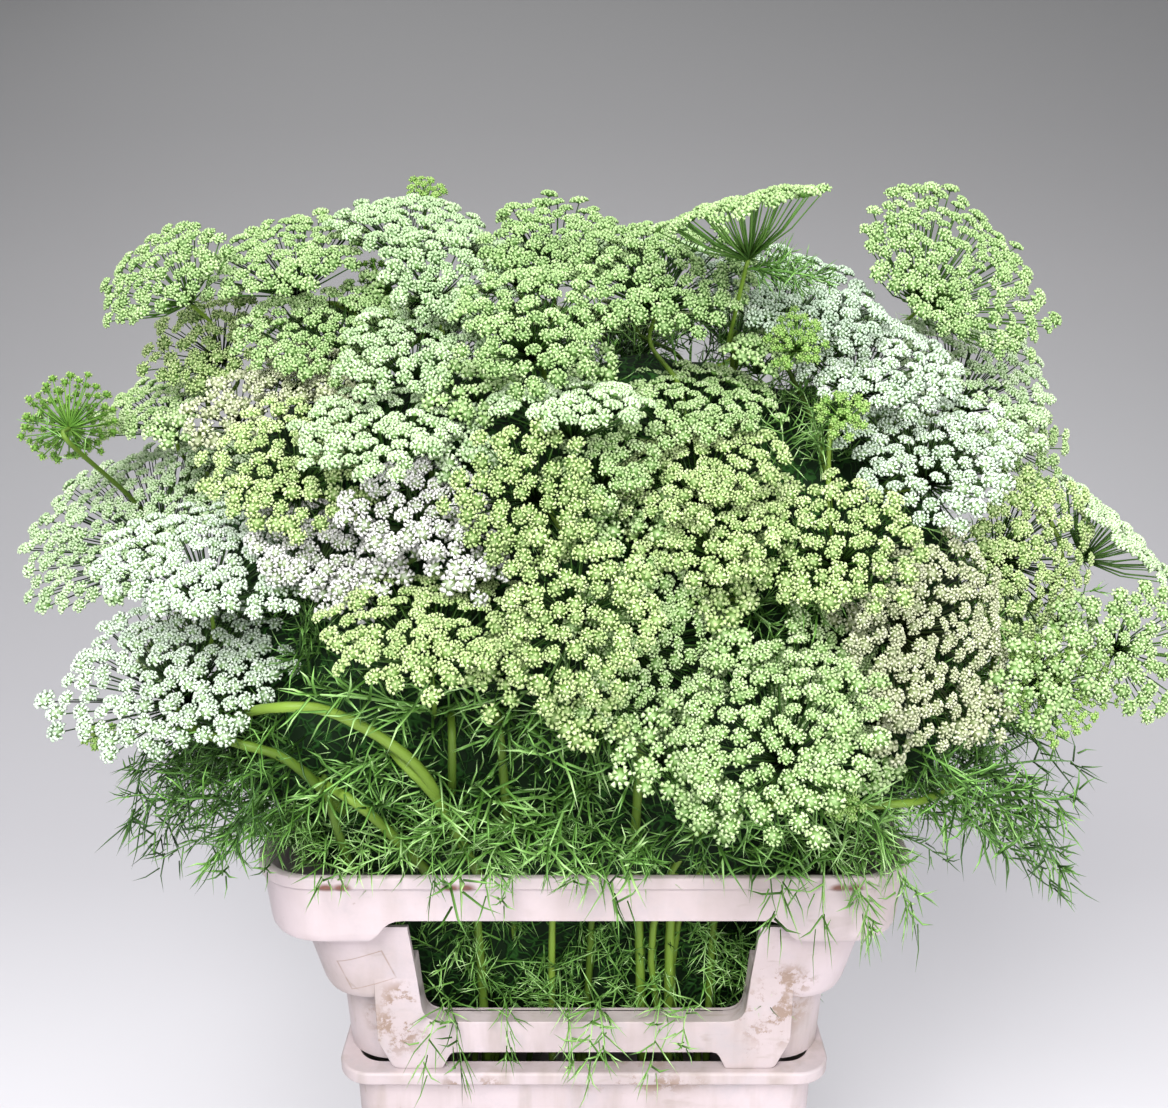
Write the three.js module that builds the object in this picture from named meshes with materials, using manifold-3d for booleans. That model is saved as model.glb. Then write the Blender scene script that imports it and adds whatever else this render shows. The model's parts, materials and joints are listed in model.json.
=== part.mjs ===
// A tall white flower bucket with its windowed collar, filled with five tied bunches of toothpick weed:
// feathery stems that spread into a dome of flat white and green umbels. Millimetres, +Z up, front at -Y.
import * as THREE from "three";
import { mergeVertices } from "three/addons/utils/BufferGeometryUtils.js";
import Module from "manifold-3d";

const wasm = await Module();
wasm.setup();

// Driving dimensions of the bucket and the collar
const GAP = 0.3;
const WALL = 4;
const BUCKET_HEIGHT = 355;
const BUCKET_BASE = { width: 330, depth: 240, corner: 30 };
const BUCKET_TOP = { width: 354, depth: 264, corner: 34 };
const BUCKET_FLANGE = { width: 378, depth: 290, corner: 44 };
const FLANGE_THICKNESS = 12;
const WATER_LEVEL = 150;
const COLLAR_TOP = 535;
const COLLAR_FOOT = { width: 366, depth: 276, corner: 32 };
const COLLAR_LOWER_TIER = { width: 374, depth: 282, corner: 34 };
const COLLAR_LEDGE = { width: 396, depth: 284, corner: 40 };
const COLLAR_MIDDLE_TIER = { width: 426, depth: 308, corner: 46 };
const COLLAR_BAND_FOOT = { width: 456, depth: 336, corner: 50 };
const COLLAR_BAND_TOP = { width: 462, depth: 342, corner: 52 };
const COLLAR_LIP = { width: 472, depth: 352, corner: 56 };
const LEDGE_Z = 417;
const BAND_Z = 480;
const LIP_THICKNESS = 9;
const LEDGE_SLOPE = 3;
const CORNER_STEPS = 3;

// The window of each long side, and the slot that its sill leaves above the bucket's rim
const WINDOW = { bottom: 398, top: 499, bottomWidth: 238, topWidth: 256, corner: 14 };
const BROW = { width: 270, flare: 26 };
const SLOT = { top: 370, width: 200, chamfer: 9 };

// Driving dimensions of the stems and leaves
const TIE_Z = 172;
const TIE_RADIUS = 15;
const TIE_HEIGHT = 12;
const FOOT_SPREAD = 21;
const STEM_RADIUS = 2.6;
const BRANCH_RADIUS = 1.7;
const RAY_RADIUS = 1.0;
const HUB_DEPTH = 0.55;
const RAY_SPREAD = 0.66;
const THROAT = { z: 430, halfWidth: 150, halfDepth: 92, draw: 0.42 };
const MOUTH = { z: 552, halfWidth: 206, halfDepth: 142, draw: 0.62 };
const LEAF_FLOOR = 362;

// The dome that the umbels make, an ellipsoid round this centre
const DOME_CENTRE = new THREE.Vector3(0, 0, 600);
const DOME_RADII = new THREE.Vector3(385, 250, 365);

// Colours
const WHITE_PLASTIC = { color: 0xe9e1de, roughness: 0.55, metalness: 0 };
const BUCKET_PLASTIC = { color: 0xe6dddb, roughness: 0.5, metalness: 0 };
const WATER = { color: 0x9fb0a2, roughness: 0.1, metalness: 0 };
const GREENERY = { color: 0x4f7a33, roughness: 0.7, metalness: 0 };
const BLOOMS = {
  white: { color: 0xe9efe2, roughness: 0.8, metalness: 0 },
  greenWhite: { color: 0xc6d9a8, roughness: 0.8, metalness: 0 },
  yellowGreen: { color: 0xb7c97a, roughness: 0.8, metalness: 0 },
  blush: { color: 0xdccfc0, roughness: 0.8, metalness: 0 },
  lime: { color: 0x8fb544, roughness: 0.8, metalness: 0 },
};

// The umbels as they stand in the dome. turn runs round from the front, positive to the right, and rise up
// from the dome's middle, in degrees. reach is the distance out, 1 on the dome. faceTurn and faceRise give
// the way the flat top looks. radius is in millimetres.
const umbel = (turn, rise, reach, radius, faceTurn, faceRise, bloom) =>
  ({ turn, rise, reach, radius, faceTurn, faceRise, bloom });

const FRONT_UMBELS = [
  umbel(-80, 49, 1.2, 54, -35, 45, "greenWhite"),
  umbel(-83, 47, 1.06, 44, -10, 40, "yellowGreen"),
  umbel(-88, 37, 1.03, 47, -40, 65, "greenWhite"),
  umbel(-81, 27, 1.02, 82, -30, 55, "white"),
  umbel(-45, 25, 1.0, 61, 20, 70, "white"),
  umbel(-47, 14, 1.0, 68, 0, 60, "white"),
  umbel(-83, 59, 1.1, 57, -20, 65, "greenWhite"),
  umbel(-56, 56, 1.0, 54, 0, 60, "greenWhite"),
  umbel(-54, 49, 0.98, 31, 0, 50, "blush"),
  umbel(-39, 38, 1.0, 52, 0, 50, "yellowGreen"),
  umbel(-33, 55, 0.95, 47, 5, 60, "white"),
  umbel(-85, 72, 1.07, 51, 20, 70, "white"),
  umbel(-37, 65, 1.0, 41, 25, 45, "white"),
  umbel(-27, 43, 1.0, 53, 0, 70, "white"),
  umbel(-19, 34, 1.0, 41, 10, 50, "blush"),
  umbel(-32, 29, 0.94, 40, 20, 55, "blush"),
  umbel(-8, 56, 1.0, 49, 0, 50, "greenWhite"),
  umbel(-17, 81, 1.0, 54, 10, 60, "greenWhite"),
  umbel(19, 67, 1.0, 57, 10, 55, "greenWhite"),
  umbel(-2, 46, 1.0, 45, -10, 80, "white"),
  umbel(22, 54, 0.84, 53, -5, 72, "greenWhite"),
  umbel(16, 40, 0.9, 50, -20, 65, "yellowGreen"),
  umbel(-6, 35, 1.0, 43, -10, 15, "yellowGreen"),
  umbel(2, 39, 1.0, 32, 0, 50, "greenWhite"),
  umbel(-16, 22, 1.0, 57, 0, 70, "yellowGreen"),
  umbel(-1, 22, 1.07, 47, 0, 20, "yellowGreen"),
  umbel(14, 33, 0.98, 42, -10, 60, "yellowGreen"),
  umbel(28, 29, 1.0, 48, -15, 45, "yellowGreen"),
  umbel(8, 21, 0.96, 55, 30, 10, "greenWhite"),
  umbel(16, 11, 1.07, 60, -20, 55, "white"),
  umbel(27, 15, 0.93, 51, 35, 15, "greenWhite"),
  umbel(38, 18, 1.0, 62, 29, 10, "blush"),
  umbel(80, 53, 1.17, 76, 25, 42, "white"),
  umbel(25, 60, 1.2, 54, -150, 70, "greenWhite"),
  umbel(57, 63, 1.0, 61, 20, 65, "white"),
  umbel(55, 52, 1.0, 57, 10, 60, "white"),
  umbel(83, 43, 1.04, 63, 25, 50, "white"),
  umbel(50, 38, 1.0, 56, -10, 55, "white"),
  umbel(87, 33, 1.05, 40, 20, 10, "greenWhite"),
  umbel(62, 23, 1.0, 58, 30, 10, "yellowGreen"),
  umbel(77, 22, 1.12, 53, 115, 45, "white"),
  umbel(56, 13, 1.2, 49, 10, 20, "greenWhite"),
];

// Young umbels, still green and small, each on a side shoot and one body with its bunch
const YOUNG_UMBELS = [
  umbel(-78, 33, 1.17, 36, -160, 10, "lime"),
  umbel(50, 11, 1.1, 40, 10, 20, "lime"),
  umbel(34, 52, 1.04, 23, -10, 35, "lime"),
  umbel(34, 42, 1.04, 19, -10, 25, "lime"),
  umbel(-81, 67, 1.03, 20, -170, 40, "lime"),
  umbel(-126, 70, 1.16, 18, 0, 55, "lime"),
  umbel(24, 3, 1.04, 14, -10, 25, "lime"),
  umbel(-72, 0, 1.0, 14, 20, 20, "lime"),
];

// The back, which the photograph doesn't show, in rings of evenly spaced pairs that grow into each other
const BACK_RINGS = [
  { rise: 8, pairs: 3, radius: 54, span: 178 },
  { rise: 31, pairs: 3, radius: 56, span: 174 },
  { rise: 54, pairs: 3, radius: 56, span: 150 },
  { rise: 76, pairs: 1, radius: 56, span: 0 },
];
const BACK_BLOOMS = ["white", "yellowGreen", "greenWhite"];
const BACK_REACH = 0.98;
const PAIR_SPACING = 1.55;

const UP = new THREE.Vector3(0, 0, 1);
const group = new THREE.Group();

// A repeatable random number from 0 to 1
function seededRandom(seed) {
  let state = seed;
  return () => {
    state = (state + 0x6d2b79f5) | 0;
    let mixed = Math.imul(state ^ (state >>> 15), 1 | state);
    mixed = (mixed + Math.imul(mixed ^ (mixed >>> 7), 61 | mixed)) ^ mixed;
    return ((mixed ^ (mixed >>> 14)) >>> 0) / 4294967296;
  };
}

// Closed geometry to a solid that can be cut and joined, and back
function toSolid(geometry) {
  const plain = geometry.clone();
  plain.deleteAttribute("normal");
  plain.deleteAttribute("uv");
  const merged = mergeVertices(plain, 1e-4);
  return new wasm.Manifold(new wasm.Mesh({
    numProp: 3,
    vertProperties: new Float32Array(merged.attributes.position.array),
    triVerts: new Uint32Array(merged.index.array),
  }));
}

function toGeometry(solid) {
  const mesh = solid.getMesh();
  const geometry = new THREE.BufferGeometry();
  geometry.setAttribute("position", new THREE.BufferAttribute(new Float32Array(mesh.vertProperties), 3));
  geometry.setIndex(new THREE.BufferAttribute(new Uint32Array(mesh.triVerts), 1));
  geometry.computeVertexNormals();
  return geometry;
}

const join = (solids) => wasm.Manifold.union(solids);

function largestPiece(solid) {
  return solid.decompose().reduce((best, piece) => (piece.volume() > best.volume() ? piece : best));
}

function addPart(name, geometry, finish) {
  const mesh = new THREE.Mesh(geometry, new THREE.MeshStandardMaterial(finish));
  mesh.name = name;
  group.add(mesh);
}

const levelAt = (plan, z, inset = 0) =>
  ({ z, width: plan.width - 2 * inset, depth: plan.depth - 2 * inset, corner: plan.corner - inset });

const mixPlans = (low, high, share) => ({
  width: THREE.MathUtils.lerp(low.width, high.width, share),
  depth: THREE.MathUtils.lerp(low.depth, high.depth, share),
  corner: THREE.MathUtils.lerp(low.corner, high.corner, share),
});

// A moulded shell's body: rounded rectangles at rising levels, skinned from one to the next. The extruded
// outline is a square whose corners have a radius of 1 round the points (1, 1) and so on.
function moulding(levels) {
  const outline = new THREE.Shape();
  outline.absarc(1, 1, 1, 0, Math.PI / 2);
  outline.absarc(-1, 1, 1, Math.PI / 2, Math.PI);
  outline.absarc(-1, -1, 1, Math.PI, 1.5 * Math.PI);
  outline.absarc(1, -1, 1, 1.5 * Math.PI, 2 * Math.PI);
  const steps = levels.length - 1;
  const geometry = new THREE.ExtrudeGeometry(outline,
    { depth: steps, steps, bevelEnabled: false, curveSegments: CORNER_STEPS });
  const position = geometry.attributes.position;
  for (let i = 0; i < position.count; i++) {
    const level = levels[Math.round(position.getZ(i))];
    const sideX = Math.sign(position.getX(i));
    const sideY = Math.sign(position.getY(i));
    position.setXYZ(i,
      sideX * (level.width / 2 - level.corner) + (position.getX(i) - sideX) * level.corner,
      sideY * (level.depth / 2 - level.corner) + (position.getY(i) - sideY) * level.corner,
      level.z);
  }
  return toSolid(geometry);
}

// An outline in the XZ plane made into a block from one depth to another along Y
function blockAlongY(outline, fromY, toY) {
  const geometry = new THREE.ExtrudeGeometry(outline,
    { depth: toY - fromY, bevelEnabled: false, curveSegments: 3 });
  geometry.rotateX(Math.PI / 2);
  geometry.translate(0, toY, 0);
  return toSolid(geometry);
}

function buildBucket() {
  const flangeFoot = BUCKET_HEIGHT - FLANGE_THICKNESS;
  const outside = moulding([
    levelAt(BUCKET_BASE, 0, 4),
    levelAt(BUCKET_BASE, 4),
    levelAt(BUCKET_TOP, flangeFoot),
    levelAt(BUCKET_FLANGE, flangeFoot + 2),
    levelAt(BUCKET_FLANGE, BUCKET_HEIGHT),
  ]);
  const inside = moulding([
    levelAt(BUCKET_BASE, WALL, WALL),
    levelAt(BUCKET_TOP, BUCKET_HEIGHT + 1, WALL),
  ]);
  addPart("bucket", toGeometry(outside.subtract(inside)), BUCKET_PLASTIC);
}

function windowOutline() {
  const { bottom, top, bottomWidth, topWidth, corner } = WINDOW;
  const half = (z) => THREE.MathUtils.mapLinear(z, bottom, top, bottomWidth, topWidth) / 2;
  const outline = new THREE.Shape();
  outline.moveTo(-half(bottom) + corner, bottom);
  outline.lineTo(half(bottom) - corner, bottom);
  outline.quadraticCurveTo(half(bottom), bottom, half(bottom + corner), bottom + corner);
  outline.lineTo(half(top - corner), top - corner);
  outline.quadraticCurveTo(half(top), top, half(top) - corner, top);
  outline.lineTo(-half(top) + corner, top);
  outline.quadraticCurveTo(-half(top), top, -half(top - corner), top - corner);
  outline.lineTo(-half(bottom + corner), bottom + corner);
  outline.quadraticCurveTo(-half(bottom), bottom, -half(bottom) + corner, bottom);
  return outline;
}

// The deep band's lower edge swings up over the window in two S-curves
function browOutline() {
  const half = BROW.width / 2;
  const low = BAND_Z - 12;
  const outline = new THREE.Shape();
  outline.moveTo(-half - BROW.flare, low);
  outline.lineTo(half + BROW.flare, low);
  outline.lineTo(half + BROW.flare, BAND_Z);
  outline.bezierCurveTo(half + 6, BAND_Z, half + 12, WINDOW.top, half - 8, WINDOW.top);
  outline.lineTo(-half + 8, WINDOW.top);
  outline.bezierCurveTo(-half - 12, WINDOW.top, -half - 6, BAND_Z, -half - BROW.flare, BAND_Z);
  return outline;
}

function slotOutline() {
  const half = SLOT.width / 2;
  const low = BUCKET_HEIGHT - 5;
  const outline = new THREE.Shape();
  outline.moveTo(-half - SLOT.chamfer, low);
  outline.lineTo(half + SLOT.chamfer, low);
  outline.lineTo(half, SLOT.top);
  outline.lineTo(-half, SLOT.top);
  return outline;
}

function buildCollar() {
  const foot = BUCKET_HEIGHT + GAP;
  const outside = moulding([
    levelAt(COLLAR_FOOT, foot),
    levelAt(COLLAR_LOWER_TIER, LEDGE_Z),
    levelAt(COLLAR_LEDGE, LEDGE_Z + LEDGE_SLOPE),
    levelAt(COLLAR_MIDDLE_TIER, BAND_Z),
    levelAt(COLLAR_BAND_FOOT, BAND_Z + LEDGE_SLOPE),
    levelAt(COLLAR_BAND_TOP, COLLAR_TOP - LIP_THICKNESS - 1),
    levelAt(COLLAR_LIP, COLLAR_TOP - LIP_THICKNESS),
    levelAt(COLLAR_LIP, COLLAR_TOP),
  ]);
  const inside = moulding([
    levelAt(COLLAR_FOOT, foot - 1, WALL),
    levelAt(COLLAR_LOWER_TIER, LEDGE_Z + WALL, WALL),
    levelAt(COLLAR_LEDGE, LEDGE_Z + WALL + LEDGE_SLOPE, WALL),
    levelAt(COLLAR_MIDDLE_TIER, BAND_Z + WALL, WALL),
    levelAt(COLLAR_BAND_FOOT, BAND_Z + WALL + LEDGE_SLOPE, WALL),
    levelAt(COLLAR_BAND_TOP, COLLAR_TOP + 1, WALL),
  ]);
  let collar = outside.subtract(inside);
  const reachY = COLLAR_LIP.depth / 2 + 5;
  const tierY = COLLAR_MIDDLE_TIER.depth / 2 + 1;
  collar = collar.subtract(blockAlongY(windowOutline(), -reachY, reachY));
  collar = collar.subtract(blockAlongY(slotOutline(), -reachY, reachY));
  collar = collar.subtract(blockAlongY(browOutline(), -reachY, -tierY));
  collar = collar.subtract(blockAlongY(browOutline(), tierY, reachY));
  addPart("collar", toGeometry(collar), WHITE_PLASTIC);
}

// The five bunches: where each one's tie stands, and the planes that keep them apart
const FRONT_ROW_Y = -50;
const BACK_ROW_Y = 50;
const OUTER_TIE_X = 96;
const BACK_TIE_X = 62;
const ROW_PLANE_Y = 15;
const frontPlaneX = (z) => 47 + (z - 100) / 18;
const BUNCHES = [
  { name: "bunch_front_left", x: -OUTER_TIE_X, y: FRONT_ROW_Y },
  { name: "bunch_front_middle", x: 0, y: FRONT_ROW_Y },
  { name: "bunch_front_right", x: OUTER_TIE_X, y: FRONT_ROW_Y },
  { name: "bunch_back_left", x: -BACK_TIE_X, y: BACK_ROW_Y },
  { name: "bunch_back_right", x: BACK_TIE_X, y: BACK_ROW_Y },
];

function bunchOf(point) {
  if (point.y > ROW_PLANE_Y) {
    return point.x < 0 ? 3 : 4;
  }
  if (Math.abs(point.x) < frontPlaneX(point.z)) {
    return 1;
  }
  return point.x < 0 ? 0 : 2;
}

// How far inside its own bunch's room a point lies
function roomLeft(point, bunch) {
  const side = bunch === 0 || bunch === 3 ? -1 : 1;
  if (bunch > 2) {
    return Math.min(point.y - ROW_PLANE_Y, side * point.x);
  }
  const toRow = ROW_PLANE_Y - point.y;
  const toSide = bunch === 1
    ? frontPlaneX(point.z) - Math.abs(point.x)
    : side * point.x - frontPlaneX(point.z);
  return Math.min(toRow, toSide);
}

function buildWater() {
  const share = (z) => (z - WALL) / (BUCKET_HEIGHT + 1 - WALL);
  const planAt = (z) => mixPlans(BUCKET_BASE, BUCKET_TOP, share(z));
  const low = WALL + GAP;
  let water = moulding([
    levelAt(planAt(low), low, WALL + 2 * GAP),
    levelAt(planAt(WATER_LEVEL), WATER_LEVEL, WALL + 2 * GAP),
  ]);
  const hole = new THREE.CylinderGeometry(FOOT_SPREAD + 11, FOOT_SPREAD + 11, 2 * WATER_LEVEL, 6);
  hole.rotateX(Math.PI / 2);
  const holeSolid = toSolid(hole);
  for (const bunch of BUNCHES) {
    water = water.subtract(holeSolid.translate([bunch.x, bunch.y, WATER_LEVEL / 2]));
  }
  addPart("water", toGeometry(water), WATER);
}

const degrees = THREE.MathUtils.degToRad;

function heading(turn, rise) {
  const flat = Math.cos(degrees(rise));
  const [across, toFront] = [Math.sin(degrees(turn)), Math.cos(degrees(turn))];
  return new THREE.Vector3(across * flat, -toFront * flat, Math.sin(degrees(rise)));
}

// The shape of an umbel: its flat underside lies in its own XY plane, and umbellets stand up from a low
// dome as the points of a six-sided lattice, every third of which is a peak
const RIM_HEIGHT = 2.5;
const DOME_SHARE = 0.15;
const PEAK_HEIGHT = 6.5;
const FOOT_SHARE = 0.88;
const crownHeight = (radius) => RIM_HEIGHT + PEAK_HEIGHT + DOME_SHARE * radius;

function latticeRings(head) {
  if (head.radius < 25) {
    return 2;
  }
  if (head.radius < 48 || head.index >= backStart) {
    return 3;
  }
  return head.radius < 66 ? 4 : 5;
}

function umbelGeometry(head) {
  const { radius } = head;
  const random = seededRandom(100 + head.index);
  const rings = latticeRings(head);
  const points = [];
  const faces = [];
  const first = (ring) => (ring === 0 ? 0 : 1 + 3 * ring * (ring - 1));
  const at = (ring, step) => first(ring) + (ring === 0 ? 0 : step % (6 * ring));
  for (let ring = 0; ring <= rings; ring++) {
    for (let step = 0; step < Math.max(1, 6 * ring); step++) {
      const side = ring === 0 ? 0 : Math.floor(step / ring);
      const along = ring === 0 ? 0 : step % ring;
      const kind = side % 2 === 0 ? ring + along : 2 * ring - along;
      const isPeak = kind % 3 === 0;
      const share = ring / rings;
      const angle = ring === 0 ? 0 : (2 * Math.PI * step) / (6 * ring);
      const rimLoss = ring === rings ? 0.05 * random() + (isPeak ? 0 : 0.06) : 0;
      const spread = radius * share * (1 - rimLoss);
      const peak = isPeak ? PEAK_HEIGHT * (0.75 + 0.25 * random()) : 0;
      const height = RIM_HEIGHT + DOME_SHARE * radius * (1 - share * share) + peak;
      points.push(spread * Math.cos(angle), spread * Math.sin(angle), height);
    }
  }
  const footStart = first(rings + 1);
  for (let corner = 1; corner < 5; corner++) {
    faces.push(footStart, footStart + corner + 1, footStart + corner);
  }
  for (let ring = 1; ring <= rings; ring++) {
    for (let side = 0; side < 6; side++) {
      for (let along = 0; along < ring; along++) {
        const outer = at(ring, side * ring + along);
        const next = at(ring, side * ring + along + 1);
        const inner = at(ring - 1, side * (ring - 1) + along);
        faces.push(outer, next, inner);
        if (along < ring - 1) {
          faces.push(next, at(ring - 1, side * (ring - 1) + along + 1), inner);
        }
      }
    }
  }
  for (let corner = 0; corner < 6; corner++) {
    const angle = (Math.PI * corner) / 3;
    points.push(FOOT_SHARE * radius * Math.cos(angle), FOOT_SHARE * radius * Math.sin(angle), 0);
  }
  for (let corner = 0; corner < 6; corner++) {
    const foot = footStart + corner;
    const nextFoot = footStart + ((corner + 1) % 6);
    const half = Math.ceil(rings / 2);
    for (let along = 0; along < rings; along++) {
      const rim = at(rings, corner * rings + along);
      const nextRim = at(rings, corner * rings + along + 1);
      faces.push(rim, along < half ? foot : nextFoot, nextRim);
      if (along === half - 1) {
        faces.push(foot, nextFoot, nextRim);
      }
    }
  }
  const geometry = new THREE.BufferGeometry();
  geometry.setAttribute("position", new THREE.BufferAttribute(new Float32Array(points), 3));
  geometry.setIndex(faces);
  return geometry;
}

// One umbel's place: where the middle of its underside is and which way it faces
function placeUmbel(spec, index) {
  const out = heading(spec.turn, spec.rise);
  const centre = out.clone().multiply(DOME_RADII).multiplyScalar(spec.reach).add(DOME_CENTRE);
  const normal = heading(spec.faceTurn, spec.faceRise);
  if (spec.side) {
    centre.addScaledVector(heading(spec.faceTurn + 90, 0), (spec.side * PAIR_SPACING * spec.radius) / 2);
  }
  return { ...spec, index, centre, normal, outward: out.divide(DOME_RADII).normalize() };
}

function backUmbels() {
  const random = seededRandom(5);
  const placed = [];
  for (const ring of BACK_RINGS) {
    for (let pair = 0; pair < ring.pairs; pair++) {
      const middle = 180 + (pair - (ring.pairs - 1) / 2) * (ring.span / ring.pairs);
      const bloom = BACK_BLOOMS[(placed.length / 2) % BACK_BLOOMS.length];
      const rise = ring.rise + 8 * (random() - 0.5);
      const faceRise = Math.min(86, ring.rise + 14 + 14 * random());
      for (const side of [-1, 1]) {
        placed.push({ ...umbel(middle, rise, BACK_REACH, ring.radius, middle, faceRise, bloom), side });
      }
    }
  }
  return placed;
}

// The umbels' distance from each other: samples on one and down its stalk, tested against the thickness
// of the other
const STALK_SAMPLES = [0.15, 0.3, 0.45, 0.6, 0.75];
function sampleUmbel(head) {
  const turnTo = new THREE.Quaternion().setFromUnitVectors(UP, head.normal);
  const samples = [];
  for (const share of [0, 0.3, 0.6, 0.8, 1]) {
    const count = Math.round(1 + 30 * share);
    const top = RIM_HEIGHT + PEAK_HEIGHT + DOME_SHARE * head.radius * (1 - share * share);
    for (let step = 0; step < count; step++) {
      const angle = (2 * Math.PI * step) / count;
      const across = share * head.radius;
      for (const height of [0, top]) {
        samples.push(new THREE.Vector3(across * Math.cos(angle), across * Math.sin(angle), height)
          .applyQuaternion(turnTo));
      }
    }
  }
  for (const depth of STALK_SAMPLES) {
    samples.push(head.normal.clone().multiplyScalar(-depth * head.radius));
  }
  return samples;
}

const heads = [...FRONT_UMBELS, ...YOUNG_UMBELS, ...backUmbels()].map(placeUmbel);
const backStart = FRONT_UMBELS.length + YOUNG_UMBELS.length;
const isYoung = (head) => head.index >= FRONT_UMBELS.length && head.index < backStart;
const partnerOf = (head) => (head.index < backStart ? -1 : backStart + ((head.index - backStart) ^ 1));

// How far a point has sunk into an umbel's thickness: the ways out above, below and past its rim
function sunkInto(point, head, clearance) {
  const local = point.clone().sub(head.centre);
  const height = local.dot(head.normal);
  const across = local.addScaledVector(head.normal, -height).length();
  const share = Math.min(across / head.radius, 1);
  const top = RIM_HEIGHT + PEAK_HEIGHT + DOME_SHARE * head.radius * (1 - share * share);
  const waysOut = [top + clearance - height, height + clearance, head.radius + clearance - across];
  return Math.min(...waysOut) > 0 ? waysOut : null;
}

// The shortest step that takes one umbel clear of another
function stepClear(head, other, clearance) {
  const needs = [0, 0, 0];
  for (const sample of head.samples) {
    const waysOut = sunkInto(sample.clone().add(head.centre), other, clearance);
    if (waysOut) {
      waysOut.forEach((way, i) => (needs[i] = Math.max(needs[i], way)));
    }
  }
  const least = Math.min(...needs);
  if (least <= 0) {
    return null;
  }
  if (least === needs[0]) {
    return other.normal.clone().multiplyScalar(least);
  }
  if (least === needs[1]) {
    return other.normal.clone().multiplyScalar(-least);
  }
  const away = head.centre.clone().sub(other.centre);
  return away.addScaledVector(other.normal, -away.dot(other.normal)).setLength(least);
}

function moveHead(head, step) {
  head.centre.add(step);
  const partner = partnerOf(head);
  if (partner >= 0) {
    heads[partner].centre.add(step);
  }
}

// Steps shorter than this count as clear
const TOUCH = 0.2;

// Where two umbels would cross, each gives way a little until they are clear of each other
function settleHeads(clearance, rounds) {
  for (const head of heads) {
    head.samples = sampleUmbel(head);
  }
  for (let round = 0; round < rounds; round++) {
    let crossings = 0;
    for (const head of heads) {
      for (const other of heads) {
        const near = head.centre.distanceTo(other.centre) < head.radius + other.radius + 20;
        if (head === other || other.index === partnerOf(head) || !near) {
          continue;
        }
        const step = stepClear(head, other, clearance);
        if (step && step.length() > TOUCH) {
          crossings++;
          step.multiplyScalar(0.3);
          moveHead(head, step);
          moveHead(other, step.negate());
        }
      }
    }
    if (crossings === 0) {
      return;
    }
  }
}

settleHeads(1.2, 400);
heads.forEach((head) => {
  head.hub = head.centre.clone().addScaledVector(head.normal, -HUB_DEPTH * head.radius);
  head.bunch = bunchOf(head.hub);
});

function placedUmbel(head, spread = 1) {
  const geometry = umbelGeometry(head);
  geometry.scale(spread, spread, 1);
  geometry.applyQuaternion(new THREE.Quaternion().setFromUnitVectors(UP, head.normal));
  geometry.translate(head.centre.x, head.centre.y, head.centre.z);
  geometry.computeVertexNormals();
  return geometry;
}

const umbelSolid = (head, spread) => toSolid(placedUmbel(head, spread));

function buildUmbels() {
  const number = (value) => String(value).padStart(2, "0");
  heads.filter((head) => head.index < FRONT_UMBELS.length).forEach((head, i) => {
    addPart(`umbel_${number(i + 1)}`, placedUmbel(head), BLOOMS[head.bloom]);
  });
  for (let index = backStart; index < heads.length; index += 2) {
    const pair = toGeometry(join([umbelSolid(heads[index]), umbelSolid(heads[index + 1])]));
    addPart(`umbel_pair_${number((index - backStart) / 2 + 1)}`, pair, BLOOMS[heads[index].bloom]);
  }
}

// Whether a point is in an umbel or among its rays
function meetsHead(point, head, margin) {
  const local = point.clone().sub(head.centre);
  const height = local.dot(head.normal);
  const across = local.addScaledVector(head.normal, -height).length();
  const depth = HUB_DEPTH * head.radius;
  if (height > crownHeight(head.radius) + margin || height < -depth - margin) {
    return 0;
  }
  const rayLimit = RAY_SPREAD * head.radius * (1 + height / depth) + 2 * margin;
  const limit = height > -margin ? head.radius + margin : rayLimit;
  return Math.max(0, limit - across);
}

// A stem's path moves out past the rim of any other umbel that it would run through
const STEM_CLEARANCE = 5;
const BEND_SHARES = [0, 0.2, 0.4, 0.6, 0.8];
function bendClear(points, own) {
  const near = heads.filter((head) => head !== own);
  const last = points.length - 1;
  for (let round = 0; round < 80; round++) {
    let bent = false;
    for (let i = 0; i < last; i++) {
      for (const share of BEND_SHARES) {
        const point = between(points[i], points[i + 1], share);
        for (const head of near) {
          const depth = meetsHead(point, head, STEM_CLEARANCE);
          if (depth > 0) {
            const away = point.clone().sub(head.centre);
            away.addScaledVector(head.normal, -away.dot(head.normal)).setLength(Math.min(depth, 4) + 0.5);
            if (i > 0) {
              points[i].addScaledVector(away, 1 - share);
            }
            if (i + 1 < last) {
              points[i + 1].addScaledVector(away, share);
            }
            bent = true;
          }
        }
      }
    }
    if (!bent) {
      break;
    }
  }
  return points;
}

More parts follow.
